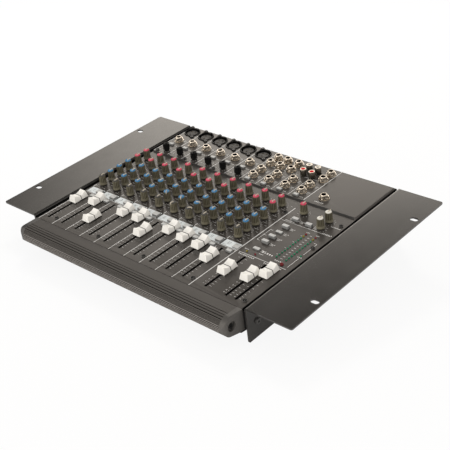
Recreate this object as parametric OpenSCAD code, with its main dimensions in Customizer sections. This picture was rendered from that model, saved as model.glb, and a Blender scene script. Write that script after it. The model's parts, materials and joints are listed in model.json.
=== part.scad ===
// Compact audio mixing console with two 19 inch rack ears.
// Origin: on the surface it stands on, under the middle of the whole object. +X right, +Z up.
// Every piece is drawn in the panel frame: X right, Y to the rear, Z square to the panel, with
// Z = 0 on the ears' top faces. placed() then leans it back onto the ears' lower tips and the
// rear feet, which is how it stands on a table. Millimetres.

/* [Rack ears] */
// Overall width across both ears
rack_w = 482.6; // [470:0.1:500]
// Length of an ear, front to rear
ear_len = 291; // [280:1:310]
// Thickness of the ears' sheet steel
ear_t = 2; // [1.6:0.1:2.6]
// Outer radius of the ears' bend
ear_bend_r = 3; // [2.8:0.1:4]
// Height of the ears' side flange
flange_h = 46.4; // [44:0.1:52]
// Corner radius of the ears
ear_corner_r = 2.4; // [1:0.1:6]
// Corner radius of the flange's lower tips
tip_r = 2; // [0.5:0.1:4]
// Hole pitch of the rack slots across the rack
slot_pitch_x = 465.1; // [462:0.1:468]
// Hole pitch of the rack slots along the ear
slot_pitch_y = 190.5; // [170:0.5:220]
// Length of a rack slot
slot_len = 10.5; // [9:0.1:12]
// Width of a rack slot
slot_w = 7; // [6.4:0.1:7.6]
// Gap between the body's side and the ear's flange
ear_gap = 3; // [2:0.1:4]
// Distance of the end ear screws from the ends of the ear
ear_screw_inset = 16; // [14:0.5:24]
// Depth of the ear screws below the ears' top faces
ear_screw_drop = 26; // [24:0.1:27]
// Thread diameter of the ear screws
ear_screw_d = 4; // [3:0.1:4.2]

/* [Body] */
// Thickness of the top panel
panel_t = 1.5; // [1.2:0.1:2]
// Depth of the control panel below the ears' top faces
panel_drop = 3; // [2:0.1:4]
// Height of the jack panel above the control panel
step_h = 2.2; // [1.6:0.1:2.6]
// Run of the bevel around the jack panel
bevel = 1.5; // [1.2:0.1:1.8]
// Flat rim outside the jack panel's bevel
rim = 1.4; // [1.2:0.1:1.6]
// Thickness of the bottom pan
pan_t = 1.2; // [1:0.1:1.6]
// Depth of the pan's front lip below the ears' top faces
front_depth = 30.9; // [30:0.1:34]
// Depth of the pan's rear edge below the ears' top faces
rear_depth = 76; // [74:0.5:84]
// Setback of the panel's front edge from the front of the ears
front_setback = 0.2; // [0:0.1:2]
// Reach of the pan's lip under the front rail
lip = 6; // [4:0.1:7]
// Diameter of a rubber foot
foot_d = 15; // [10:0.5:18]
// Height of a rubber foot
foot_h = 4.6; // [3:0.1:7]
// Distance of the feet from the sides of the body
foot_inset = 24; // [16:0.5:34]
// Distance of the feet from the front and rear of the pan
foot_inset_y = 21; // [16:0.5:30]

/* [Front rail] */
// Reach of the front rail ahead of the panel
rail_d = 30.4; // [29:0.1:34]
// Height of the rail's crest above the control panel
crest_h = 1.1; // [0.6:0.1:2]
// Radius of the rail's nose
nose_r = 12.1; // [11:0.1:12.6]
// Wall of the hollow rail
rail_wall = 2; // [1.6:0.1:2.4]
// Thickness of an end cap
cap_t = 7.4; // [7:0.1:9]
// Radius of the end caps' front corners, seen from above
cap_corner_r = 5.6; // [4:0.1:6]
// Radius of the end caps' upper and lower outer edges
cap_edge_r = 2.4; // [1.5:0.1:3]
// Diameter of the recess for the end cap's screw
cap_recess_d = 12; // [10:0.1:13]
// Depth of that recess
cap_recess = 3.4; // [2:0.1:4]

/* [Channels] */
// Distance from the body's left side to the first channel
left_margin = 12; // [11:0.1:14]
// Pitch of the channel strips
channel_pitch = 26.69; // [26:0.01:28]
// Distance from the last channel to the first master fader
master_gap = 34.7; // [33:0.1:38]
// Distance from the first master fader to the main pair
main_gap = 30.4; // [28:0.1:34]
// Pitch of the main pair of faders
main_pitch = 13.9; // [13:0.1:16]
// Distance from the last fader to the body's right side
right_margin = 17.8; // [16:0.1:22]

/* [Faders] */
// Travel of a fader
travel = 60; // [50:1:66]
// Distance from the panel's front edge to the fader slots
slot_front = 9.2; // [8.8:0.1:12]
// Width of a fader slot
fader_slot_w = 2.5; // [2.2:0.1:3]
// Length of the fader's lever in its slot
lever_l = 5.6; // [4.6:0.1:6.4]
// Thickness of the fader's lever
lever_t = 1.2; // [0.8:0.1:1.4]
// Length of a fader cap
cap_l = 22.4; // [20:0.1:24]
// Width of a fader cap at its base
cap_w = 12.4; // [10:0.1:12.6]
// Height of a fader cap
cap_h = 8.8; // [8:0.1:10]
// Gap between the fader caps and the panel
cap_lift = 1; // [0.6:0.1:2]

/* [Knobs] */
// Distance from the fader slots to the pan row
pan_gap = 28.4; // [27.4:0.1:32]
// Distance from the pan row to the low row
low_gap = 15.4; // [14.6:0.1:18]
// Pitch of the equaliser rows
eq_pitch = 16.2; // [14.6:0.1:18]
// Distance from the equaliser to the second auxiliary row
aux_gap = 18; // [15:0.1:20]
// Pitch of the auxiliary rows
aux_pitch = 16.9; // [14.6:0.1:18]
// Diameter of a knob's body at its base
knob_d = 9.6; // [8.6:0.1:10.4]
// Diameter of a knob's body at its top
knob_top_d = 8.6; // [8:0.1:9.4]
// Diameter of a knob's skirt
skirt_d = 10.6; // [9.8:0.1:11.4]
// Height of a knob's skirt
skirt_h = 1.8; // [1:0.1:2.4]
// Height of a knob
knob_h = 14.2; // [13:0.1:16]
// Diameter of a trim knob
trim_d = 9.4; // [8:0.1:9.6]
// Height of a trim knob
trim_h = 9; // [8:0.1:11]
// Gap between the knobs and the panel
knob_lift = 1.6; // [0.5:0.1:2]
// Diameter of a knob's shaft
shaft_d = 6; // [5:0.1:6.2]

/* [Jack panel] */
// Distance from the last knob row to the jack panel's step
step_gap = 19.4; // [17:0.1:22]
// Distance from the step to the trim knobs
trim_gap = 12; // [11:0.1:14]
// Sideways shift of the trim knobs from their channels
trim_shift = 6.7; // [6:0.1:9]
// Distance from the step to the low cut buttons
low_cut_gap = 26.7; // [26:0.1:28]
// Distance from the step to the line jacks
line_gap = 41.2; // [40:0.1:43]
// Distance from the step to the microphone sockets
mic_gap = 69.7; // [68:0.1:71]
// Distance from the step to the first row of stereo jacks
stereo_gap = 17.8; // [17:0.1:18.4]
// Pitch of two jacks, one behind the other
jack_pitch = 16.6; // [15.4:0.1:17.2]
// Distance from the step to the first row of output jacks
output_gap = 53.8; // [53:0.1:55]
// Distance from the step to the rear edge of the body
jack_panel_d = 86.6; // [86.2:0.1:90]
// Diameter of a jack's bore
jack_bore = 6.4; // [6.35:0.01:6.6]
// Depth of a jack's bore below the top of its bushing
jack_depth = 28; // [22:0.5:30]
// Diameter of a jack's threaded bushing
bushing_d = 9; // [8.6:0.1:10]
// Height of a jack's bushing above its panel
bushing_h = 6.3; // [5.6:0.1:7]
// Width across the flats of a jack's nut
nut_af = 12; // [11:0.1:13]
// Height of a jack's nut
nut_h = 5.2; // [4:0.1:5.4]
// Radius of a microphone socket's flange
mic_r = 11.7; // [11.2:0.1:12.6]
// Radius of a microphone socket's barrel
mic_barrel_r = 10.6; // [10.3:0.1:11.1]
// Outer radius of a microphone socket's groove
mic_groove_r = 9.8; // [9.5:0.1:10]
// Radius of a microphone socket's core
mic_core_r = 7.6; // [7.2:0.1:8]
// Height of a phono socket above its panel
rca_h = 9.6; // [8:0.1:11]
// Radius of a phono socket's shell
rca_r = 4.2; // [4:0.1:4.4]

/* [Buttons] */
// Press of a button
press = 2; // [1:0.1:2.4]
// Width and length of a mute button
mute_size = [9, 7.6]; // [4:0.1:9]
// Height of a mute button above the panel
mute_h = 3.2; // [2.6:0.1:4]
// Width and length of a solo button
solo_size = [8, 4.6]; // [4:0.1:8]
// Height of a solo button above the panel
solo_h = 2.4; // [2.4:0.1:3.6]
// Width and length of a master button
master_size = [9.2, 4.6]; // [4:0.1:9.4]
// Height of a master button above the panel
master_h = 3.6; // [2.6:0.1:4]
// Height of the low cut and level buttons above the jack panel
input_h = 2.4; // [2.4:0.1:3]

/* [Insides] */
// Depth of the main circuit board below the control panel
board_drop = 14.5; // [14:0.1:15.5]
// Depth of the jack circuit board below the jack panel
jack_board_drop = 28; // [26:0.1:30]
// Thickness of the circuit boards
board_t = 1.6; // [1.2:0.1:2]
// Diameter of the toroidal transformer
toroid_d = 60; // [50:1:66]
// Height of the toroidal transformer
toroid_h = 26; // [20:0.5:28]

/* [Hidden] */
$fn = 48;
channels = 10;
mono = 6;
fit = 0.05;            // gap of a piece that is pressed or screwed on
run = 0.35;            // gap of a piece that slides or turns
eps = 0.01;

// Heights
p_z = -panel_drop;               // control panel, top face
j_z = p_z + step_h;              // jack panel, top face
p_under = p_z - panel_t;
j_under = j_z - panel_t;
board_z = p_z - board_drop;      // main circuit board, top face
jack_board_z = j_z - jack_board_drop;

// Setting of the ten channel faders, the first master and the main pair, as shares of the travel
fader_set = [0.80, 0.95, 0.41, 0.97, 0.99, 0.61, 1.00, 0.95, 0.92, 0.68, 0.55, 0.62, 0.89];

// Places across the body
body_w = left_margin + (channels - 1) * channel_pitch
       + master_gap + main_gap + main_pitch + right_margin;
function ch_x(i) = -body_w / 2 + left_margin + i * channel_pitch;
m1_x = ch_x(channels - 1) + master_gap;
main_x = m1_x + main_gap;
fader_x = concat([for (i = [0:channels - 1]) ch_x(i)], [m1_x, main_x, main_x + main_pitch]);

// Places along the body
front_y = -ear_len / 2 + front_setback;
slot_l = travel + lever_l + 1.7;
slot_y0 = front_y + slot_front;
slot_y1 = slot_y0 + slot_l;
slot_mid = (slot_y0 + slot_y1) / 2;
pan_y = slot_y1 + pan_gap;
low_y = pan_y + low_gap;
mid_y = low_y + eq_pitch;
high_y = mid_y + eq_pitch;
aux2_y = high_y + aux_gap;
aux1_y = aux2_y + aux_pitch;
step_y = aux1_y + step_gap;
trim_y = step_y + trim_gap;
back_y = step_y + jack_panel_d;
mute_y = slot_y1 + 10.6;
mute_dx = 12.7;
solo_y = slot_y1 - 1.2;
solo_dx = 11.6;

// Bottom pan: its underside falls straight from the lip to the rear
lip_y = front_y - lip;
pan_slope = (rear_depth - front_depth) / (back_y - lip_y);
pan_a = atan(pan_slope);
function pan_z(y) = -front_depth - pan_slope * (y - lip_y);
pan_rise = pan_t / cos(pan_a);   // sheet thickness measured along Z

// Feet and the lean that brings the rear feet and the flanges' tips to one level
rear_foot_y = back_y - foot_inset_y;
front_foot_y = front_y + foot_inset_y;
tip = [-ear_len / 2 + tip_r, -flange_h + tip_r];
heel = [rear_foot_y - foot_h * sin(pan_a) + foot_d / 2 * cos(pan_a),
        pan_z(rear_foot_y) - foot_h * cos(pan_a) - foot_d / 2 * sin(pan_a)];
span = heel - tip;
lean = asin(-tip_r / norm(span)) - atan2(span[1], span[0]);
rest_z = -(heel[0] * sin(lean) + heel[1] * cos(lean));

// Front rail outline: a round nose, joined by tangents to the panel and to the pan's lip
nose_c = [front_y - rail_d + nose_r, p_z + crest_h - nose_r];
lip_top = -front_depth + pan_rise;
cap_screw = nose_c;
rail_steps = 30;                 // straight runs round the nose
function at(c, r, a) = c + r * [cos(a), sin(a)];
function arc(c, r, a0, a1, n) = [for (k = [0:n]) at(c, r, a0 + (a1 - a0) * k / n)];
function way(v) = atan2(v[1], v[0]);
function rail_points(d) =
    let (t = [front_y - d, p_z - d], l = [lip_y + d / 2, lip_top + d],
         r = [front_y - d, pan_z(front_y) + pan_rise + d], q = nose_r - d,
         a0 = way(t - nose_c) + acos(q / norm(t - nose_c)),
         a1 = 360 + way(l - nose_c) - acos(q / norm(l - nose_c)))
    concat([t], arc(nose_c, q, a0, a1, rail_steps), [l, r]);

// The whole object's middle, front to rear, once it leans
front_end = nose_c[0] * cos(lean) - nose_c[1] * sin(lean) - nose_r;
rear_end = back_y * cos(lean) + rear_depth * sin(lean);
rest_y = -(front_end + rear_end) / 2;

// Patterns that the panel, the boards and the pieces share
row_y = [pan_y, low_y, mid_y, high_y, aux2_y, aux1_y];
phones_level_xy = [main_x + 6.6, aux2_y];
main_level_xy = [main_x + 6.6, aux1_y - 0.4];
aux_master_xy = [m1_x, aux1_y - 0.9];
function trim_xy(i) = [ch_x(i) + trim_shift, trim_y];
pot_xy = concat([for (i = [0:channels - 1], y = row_y) [ch_x(i), y]],
                [phones_level_xy, main_level_xy, aux_master_xy],
                [for (i = [0:mono - 1]) trim_xy(i)]);
line_xy = [for (i = [0:mono - 1]) [ch_x(i) + 2.8, step_y + line_gap]];
stereo_xy = [for (i = [mono:channels - 1], k = [0, 1])
    [ch_x(i) + 1.6, step_y + stereo_gap + k * jack_pitch]];
output_x = ch_x(mono) + 1.6;
output_xy = [for (dx = [0, 16.4, 34.7, 87], k = [0, 1])
    [output_x + dx, step_y + output_gap + k * jack_pitch]];
phones_xy = [m1_x + 1.4, step_y + stereo_gap + 0.4];
jack_xy = concat(line_xy, stereo_xy, output_xy, [phones_xy]);
mic_xy = [for (i = [0:mono - 1]) [ch_x(i) + 2, step_y + mic_gap]];
mic_tab = [10.2, 11.6];
rca_xy = [for (dx = [56.4, 70.2], dy = [52.1, 65.4]) [output_x + dx, step_y + dy]];
mute_xy = [for (i = [0:channels - 1]) [ch_x(i) + mute_dx, mute_y]];
solo_xy = [for (i = [0:channels - 1]) [ch_x(i) + solo_dx, solo_y]];
low_cut_xy = [for (i = [0:mono - 1]) [ch_x(i) + 1.8, step_y + low_cut_gap]];
level_xy = [for (i = [mono:channels - 1]) [ch_x(i) + 0.8, step_y + 7]];
input_xy = concat(low_cut_xy, level_xy);
input_size = [7.6, 4.8];
master_dy = [19.9, 35.9, 48.5, 61.1, 73.7, 92.7];
master_xy = concat([for (dy = master_dy) [m1_x + 0.8, slot_y1 + dy]],
                   [[m1_x + 22, slot_y1 + 91.2]]);
latched = [0, 3];                // master buttons that are pushed in
screw_xy = concat([for (i = [0, 3, 6, 9]) [ch_x(i) + 13, slot_y0 + 3.5]],
    [[body_w / 2 - 7.4, slot_y0 + 3.5], [body_w / 2 - 7.4, slot_y1 + 55.3],
     [body_w / 2 - 7.4, aux1_y - 1], [ch_x(9) + 14, aux2_y + 6.2]]);
jack_screw_xy = [for (i = [0, 2, 4]) [ch_x(i) - 4.6, step_y + 5]];
meter_pitch = 4.97;
meter_xy = [for (x = [main_x, main_x + main_pitch], k = [0:11])
    [x + 0.2, slot_y1 + 19.7 + k * meter_pitch]];
small_lamp_xy = [[m1_x - 5.7, slot_y1 + 10], [m1_x + 6.9, slot_y1 + 10.1],
                 [main_x + main_pitch + 9, slot_y1 + 35.1]];
big_lamp_xy = [main_x + main_pitch + 1, slot_y1 + 10.6];
lamp_r = 1.2;
big_lamp_r = 2.4;
ear_screw_y = [-ear_len / 2 + ear_screw_inset, 0, ear_len / 2 - ear_screw_inset];
rear_z = -46;                    // height of the rear sockets' centres
inlet_x = -130;
rocker_x = [-98, -78];
rocker_size = [9, 16];
out_x = [-32, 2];
board_gap = 5;                   // boards stay clear of the pan's walls

// From the panel frame to the standing pose
module placed() {
    translate([0, rest_y, rest_z]) rotate([lean, 0, 0]) children();
}
// A [Y, Z] outline drawn out along X, from x0 to x1
module along_x(x0, x1) {
    translate([x0, 0, 0]) rotate([90, 0, 90]) linear_extrude(x1 - x0) children();
}
// An [X, Z] outline drawn out along Y, from y0 to y1
module along_y(y0, y1) {
    translate([0, y1, 0]) rotate([90, 0, 0]) linear_extrude(y1 - y0) children();
}
module block(c, size, z0, z1) {
    translate([c[0] - size[0] / 2, c[1] - size[1] / 2, z0]) cube([size[0], size[1], z1 - z0]);
}
module rod(c, r, z0, z1) {
    translate([c[0], c[1], z0]) cylinder(h = z1 - z0, r = r);
}
// A piece that stands on the pan's sloping floor, or hangs under it with up = -1
module on_pan(c, drop = 0) {
    translate([c[0], c[1], pan_z(c[1]) + pan_rise - drop]) rotate([-pan_a, 0, 0]) children();
}
// A piece that faces out of the rear wall; its own Z points to the rear
module on_rear(x) {
    translate([x, back_y, rear_z]) rotate([-90, 0, 0]) children();
}

// ---- Sheet metal -------------------------------------------------------------------------

// The raised jack panel's form, inset by d and lowered by h
module raised_form(d, h) {
    x1 = body_w / 2 - rim - d;
    y0 = step_y + d;
    y1 = back_y - rim - d;
    intersection() {
        along_x(-body_w / 2, body_w / 2)
            polygon([[y0, p_under - h], [y0, p_z - h], [y0 + bevel, j_z - h],
                     [y1 - bevel, j_z - h], [y1, p_z - h], [y1, p_under - h]]);
        along_y(step_y, back_y)
            polygon([[-x1, p_under - h], [-x1, p_z - h], [-x1 + bevel, j_z - h],
                     [x1 - bevel, j_z - h], [x1, p_z - h], [x1, p_under - h]]);
    }
}
module panel_cuts() {
    for (i = [0:len(fader_x) - 1])
        translate([fader_x[i] - fader_slot_w / 2, slot_y0]) square([fader_slot_w, slot_l]);
    for (c = pot_xy) translate(c) circle(d = shaft_d + 2 * run);
    for (c = jack_xy) translate(c) circle(d = bushing_d + 2 * fit);
    for (c = mic_xy) {
        translate(c) circle(mic_barrel_r + fit);
        for (s = [-1, 1]) translate(c + s * [-mic_tab[0], mic_tab[1]]) circle(1.3);
    }
    for (c = rca_xy) translate(c) circle(rca_r + 0.3);
    for (c = mute_xy) translate(c) square(mute_size + [2, 2] * run, center = true);
    for (c = solo_xy) translate(c) square(solo_size + [2, 2] * run, center = true);
    for (c = input_xy) translate(c) square(input_size + [2, 2] * run, center = true);
    for (c = master_xy) translate(c) square(master_size + [2, 2] * run, center = true);
    for (c = concat(screw_xy, jack_screw_xy)) translate(c) circle(1.6);
    for (c = concat(meter_xy, small_lamp_xy)) translate(c) circle(lamp_r + fit);
    translate(big_lamp_xy) circle(big_lamp_r + fit);
}
module top_panel() {
    color([0.30, 0.28, 0.27]) placed() difference() {
        union() {
            translate([-body_w / 2, front_y, p_under]) cube([body_w, back_y - front_y, panel_t]);
            raised_form(0, 0);
        }
        raised_form(panel_t / 2, panel_t);
        translate([0, 0, p_under - 5]) linear_extrude(15) panel_cuts();
    }
}
collar_h = 1.6;                  // threaded collars for the ear screws, inside the pan's walls
module ear_collar(s, y) {
    translate([s * (body_w / 2 - pan_t + eps), y, -ear_screw_drop]) rotate([0, -s * 90, 0])
        cylinder(h = collar_h, d = ear_screw_d + 3);
}
module bottom_pan() {
    color([0.16, 0.155, 0.15]) placed() difference() {
        union() {
            difference() {
                along_x(-body_w / 2, body_w / 2)
                    polygon([[front_y, p_under], [front_y, pan_z(front_y) + pan_rise],
                             [lip_y, lip_top], [lip_y, -front_depth], [back_y, -rear_depth],
                             [back_y, p_under]]);
                along_x(-body_w / 2 + pan_t, body_w / 2 - pan_t)
                    polygon([[front_y + pan_t, 0], [front_y + pan_t, pan_z(front_y + pan_t) + pan_rise],
                             [back_y - pan_t, pan_z(back_y - pan_t) + pan_rise],
                             [back_y - pan_t, 0]]);
            }
            for (s = [-1, 1], y = ear_screw_y) ear_collar(s, y);
            for (c = psu_posts) on_pan(c, eps) cylinder(h = psu_lift + eps, r = 2.6);
        }
        for (s = [-1, 1], y = ear_screw_y)
            translate([s * (body_w / 2 + 1), y, -ear_screw_drop]) rotate([0, -s * 90, 0])
                cylinder(h = 6, d = ear_screw_d + 2 * fit);
        on_rear(inlet_x) translate([0, 0, -2]) linear_extrude(3)
            square([inlet_w, inlet_l] + [1, 1] * 2 * fit, center = true);
        for (x = rocker_x) on_rear(x) translate([0, 0, -2]) linear_extrude(3)
            square(rocker_size + [1, 1] * (3 + 2 * fit), center = true);
        for (x = out_x) on_rear(x) translate([0, 0, -2]) cylinder(h = 3, r = out_r + fit);
        for (x = [-3:3], y = [0, 1])
            translate([x * 9 - 115, -40 + y * 24, -rear_depth]) cube([3, 18, rear_depth - 10]);
    }
}
// The right ear; the left one is its mirror image
module ear() {
    x0 = body_w / 2 + ear_gap;
    ri = ear_bend_r - ear_t;
    difference() {
        union() {
            // Top plate with round outer corners
            translate([0, 0, -ear_t]) linear_extrude(ear_t) {
                translate([x0 + ear_bend_r, -ear_len / 2])
                    square([rack_w / 2 - x0 - ear_bend_r - ear_corner_r, ear_len]);
                translate([rack_w / 2 - ear_corner_r - eps, -ear_len / 2 + ear_corner_r])
                    square([ear_corner_r + eps, ear_len - 2 * ear_corner_r]);
                for (s = [-1, 1])
                    translate([rack_w / 2 - ear_corner_r, s * (ear_len / 2 - ear_corner_r)])
                        circle(ear_corner_r);
            }
            // Bend
            translate([x0 + ear_bend_r, ear_len / 2, -ear_bend_r]) rotate([90, 0, 0])
                linear_extrude(ear_len) intersection() {
                    difference() { circle(ear_bend_r); circle(ri); }
                    translate([-ear_bend_r, 0]) square(ear_bend_r);
                }
            // Side flange with round lower tips
            along_x(x0, x0 + ear_t) {
                translate([-ear_len / 2, -flange_h + tip_r])
                    square([ear_len, flange_h - tip_r - ear_bend_r]);
                translate([-ear_len / 2 + tip_r, -flange_h]) square([ear_len - 2 * tip_r, tip_r + eps]);
                for (s = [-1, 1])
                    translate([s * (ear_len / 2 - tip_r), -flange_h + tip_r]) circle(tip_r);
            }
        }
        for (s = [-1, 1]) translate([slot_pitch_x / 2, s * slot_pitch_y / 2, -ear_t - 1])
            linear_extrude(ear_t + 2) {
                square([slot_len - slot_w, slot_w], center = true);
                for (t = [-1, 1]) translate([t * (slot_len - slot_w) / 2, 0]) circle(d = slot_w);
            }
        for (y = ear_screw_y)
            translate([x0 - 1, y, -ear_screw_drop]) rotate([0, 90, 0])
                cylinder(h = ear_t + 2, d = ear_screw_d + 0.4);
        // Spare pilot hole behind the front screw
        translate([x0 - 1, ear_screw_y[0] + 9, -ear_screw_drop - 1.4]) rotate([0, 90, 0])
            cylinder(h = ear_t + 2, r = 1.2);
    }
}
module right_rack_ear() { color([0.22, 0.21, 0.20]) placed() ear(); }
module left_rack_ear() { color([0.22, 0.21, 0.20]) placed() mirror([1, 0, 0]) ear(); }

// ---- Front rail --------------------------------------------------------------------------

// A shallow groove across the rail at angle a around centre c, r out
module groove(c, r, a, w, d) {
    translate(at(c, r - d, a)) rotate(a) translate([0, -w / 2]) square([2 * d, w]);
}
module rail_grooves() {
    groove([nose_c[0] + 3.5, nose_c[1]], nose_r - 0.1, 90, 1, 0.7);
    for (a = [91, 107, 122]) groove(nose_c, nose_r, a, 1, 0.6);
    for (k = [0:5]) groove(nose_c, nose_r, 131 + 5 * k, 0.4, 0.4);
    for (k = [0:2]) groove(nose_c, nose_r, 164 + 9 * k, 0.8, 0.5);
    for (k = [0:4]) groove(nose_c, nose_r, 192 + 9 * k, 0.7, 0.5);
}
module front_rail() {
    color([0.24, 0.23, 0.22]) placed()
        along_x(-body_w / 2 + cap_t, body_w / 2 - cap_t) difference() {
            union() {
                difference() {
                    polygon(rail_points(0));
                    polygon(rail_points(rail_wall));
                    rail_grooves();
                }
                // Screw channel for the end caps' screws, on a web
                intersection() {
                    polygon(rail_points(rail_wall / 2));
                    union() {
                        translate(cap_screw) circle(3.4);
                        translate([cap_screw[0] - 0.8, -front_depth]) square([1.6, front_depth + 5]);
                    }
                }
            }
            translate(cap_screw) circle(1.6);
        }
}
// The right end cap; the left one is its mirror image
module end_cap() {
    x1 = body_w / 2;
    x0 = x1 - cap_t;
    y0 = front_y - rail_d;
    z1 = p_z + crest_h;
    e = cap_edge_r;
    difference() {
        intersection() {
            along_x(x0, x1) polygon(rail_points(0));
            // Seen from above: a round front corner
            translate([0, 0, -front_depth - 5]) linear_extrude(front_depth + 10)
                polygon(concat([[x0 - 1, y0 - 1]],
                    arc([x1 - cap_corner_r, y0 + cap_corner_r], cap_corner_r, 270, 360, 10),
                    [[x1, front_y + 1], [x0 - 1, front_y + 1]]));
            // Seen from the front: round upper and lower edges
            along_y(y0 - 1, front_y + 1)
                polygon(concat([[x0 - 1, -front_depth], [x1 - e, -front_depth]],
                    arc([x1 - e, -front_depth + e], e, 270, 360, 6),
                    arc([x1 - e, z1 - e], e, 0, 90, 6), [[x0 - 1, z1]]));
        }
        translate([x0 - 1, cap_screw[0], cap_screw[1]]) rotate([0, 90, 0])
            cylinder(h = cap_t + 2, r = 1.7);
        translate([x1 - cap_recess, cap_screw[0], cap_screw[1]]) rotate([0, 90, 0])
            cylinder(h = cap_recess + 1, d = cap_recess_d);
    }
}
module right_end_cap() { color([0.26, 0.25, 0.24]) placed() end_cap(); }
module left_end_cap() { color([0.26, 0.25, 0.24]) placed() mirror([1, 0, 0]) end_cap(); }

// ---- Fasteners and feet ------------------------------------------------------------------

// A screw whose head stands on z = 0 and whose shank runs down
module screw(d, l, head_r, head_h, drive_r) {
    difference() {
        union() {
            cylinder(h = head_h, r = head_r);
            translate([0, 0, -l]) cylinder(h = l + eps, d = d);
        }
        translate([0, 0, head_h * 0.4]) cylinder(h = head_h, r = drive_r, $fn = 6);
    }
}
module ear_screws() {
    x0 = body_w / 2;
    color([0.45, 0.44, 0.42]) placed() for (s = [-1, 1], y = ear_screw_y)
        translate([0, y, -ear_screw_drop]) {
            translate([s * (x0 + ear_gap + ear_t), 0, 0]) rotate([0, s * 90, 0])
                screw(ear_screw_d, ear_gap + ear_t + pan_t + collar_h, 3.6, 2.2, 1.4);
            // Spacer between the body and the flange
            translate([s * x0, 0, 0]) rotate([0, s * 90, 0]) difference() {
                cylinder(h = ear_gap, r = 3.8);
                translate([0, 0, -1]) cylinder(h = ear_gap + 2, d = ear_screw_d + 2 * fit);
            }
        }
}
module pillar(c, top) {
    difference() {
        rod(c, 2.5, board_z, top);
        rod(c, 1.45 + fit, board_z + 2, top + 1);
    }
}
module panel_fasteners() {
    color([0.12, 0.12, 0.12]) placed() {
        for (c = screw_xy) {
            translate([c[0], c[1], p_z]) screw(2.9, 9, 2.6, 1.4, 1.1);
            pillar(c, p_under);
        }
        for (c = jack_screw_xy) {
            translate([c[0], c[1], j_z]) screw(2.9, 9, 2.6, 1.4, 1.1);
            pillar(c, j_under);
        }
        for (c = mic_xy, s = [-1, 1])
            translate([c[0] - s * mic_tab[0], c[1] + s * mic_tab[1], j_z + mic_flange])
                screw(2.4, 8, 2, 0.9, 0.8);
    }
}
module end_cap_screws() {
    color([0.2, 0.2, 0.2]) placed() for (s = [-1, 1])
        translate([s * (body_w / 2 - cap_recess), cap_screw[0], cap_screw[1]])
            rotate([0, s * 90, 0]) screw(3, 14, 3, 2, 1.2);
}
module rubber_feet() {
    color([0.08, 0.08, 0.08]) placed()
        for (s = [-1, 1], y = [front_foot_y, rear_foot_y])
            on_pan([s * (body_w / 2 - foot_inset), y], pan_rise)
                translate([0, 0, -foot_h]) cylinder(h = foot_h, d = foot_d);
}

// ---- Boards, supply and wiring -----------------------------------------------------------

split_x = ch_x(mono) - 13;
main_back_mono = step_y + low_cut_gap + 4.6;
main_back_stereo = step_y + 11.2;
jack_front_mono = main_back_mono + 1.4;
jack_front_stereo = main_back_stereo + 0.4;
psu_size = [100, 54];
psu_c = [-10, step_y + 18];
psu_lift = 6;
psu_posts = [for (s = [-1, 1], t = [-1, 1]) psu_c + [s * 46, t * 23]];
module main_circuit_board() {
    x1 = body_w / 2 - board_gap;
    color([0.10, 0.30, 0.16]) placed() translate([0, 0, board_z - board_t])
        linear_extrude(board_t)
            polygon([[-x1, front_y + board_gap], [x1, front_y + board_gap],
                     [x1, main_back_stereo], [split_x, main_back_stereo],
                     [split_x, main_back_mono], [-x1, main_back_mono]]);
}
module jack_circuit_board() {
    x1 = body_w / 2 - board_gap;
    color([0.10, 0.30, 0.16]) placed() translate([0, 0, jack_board_z - board_t])
        linear_extrude(board_t)
            polygon([[-x1, jack_front_mono], [split_x, jack_front_mono],
                     [split_x, jack_front_stereo], [x1, jack_front_stereo],
                     [x1, back_y - board_gap], [-x1, back_y - board_gap]]);
}
module power_supply_board() {
    color([0.12, 0.33, 0.18]) placed() on_pan(psu_c) translate([0, 0, psu_lift]) {
        translate([-psu_size[0] / 2, -psu_size[1] / 2, 0]) cube([psu_size[0], psu_size[1], board_t]);
        translate([-34, 14, 0]) cube([60, 6, 17]);
        for (x = [-30, -10, 12, 34]) translate([x, -12, 0]) cylinder(h = 20, r = 6.5);
    }
}
module transformer() {
    color([0.75, 0.62, 0.20]) placed() on_pan([-115, step_y + 14]) {
        difference() {
            cylinder(h = toroid_h, d = toroid_d);
            translate([0, 0, -1]) cylinder(h = toroid_h + 2, r = 9);
        }
        translate([0, 0, toroid_h]) cylinder(h = 1.5, r = 14);
        cylinder(h = toroid_h + 4, r = 3);
    }
}
module ribbon_cable() {
    t = 0.9;
    y0 = main_back_stereo - 8;
    y1 = jack_front_stereo + 16;
    z0 = board_z - board_t;
    z1 = jack_board_z - board_t;
    low = z1 - 12;
    color([0.62, 0.62, 0.60]) placed() {
        block([m1_x + 8, y0], [30, 6], z0 - 6, z0);
        block([m1_x + 8, y1], [30, 6], z1 - 6, z1);
        along_x(m1_x - 5, m1_x + 21)
            polygon([[y0 - t / 2, z0 - 5], [y0 - t / 2, low], [y1 + t / 2, low], [y1 + t / 2, z1 - 5],
                     [y1 - t / 2, z1 - 5], [y1 - t / 2, low + t], [y0 + t / 2, low + t],
                     [y0 + t / 2, z0 - 5]]);
    }
}

// ---- Sockets -----------------------------------------------------------------------------

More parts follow.
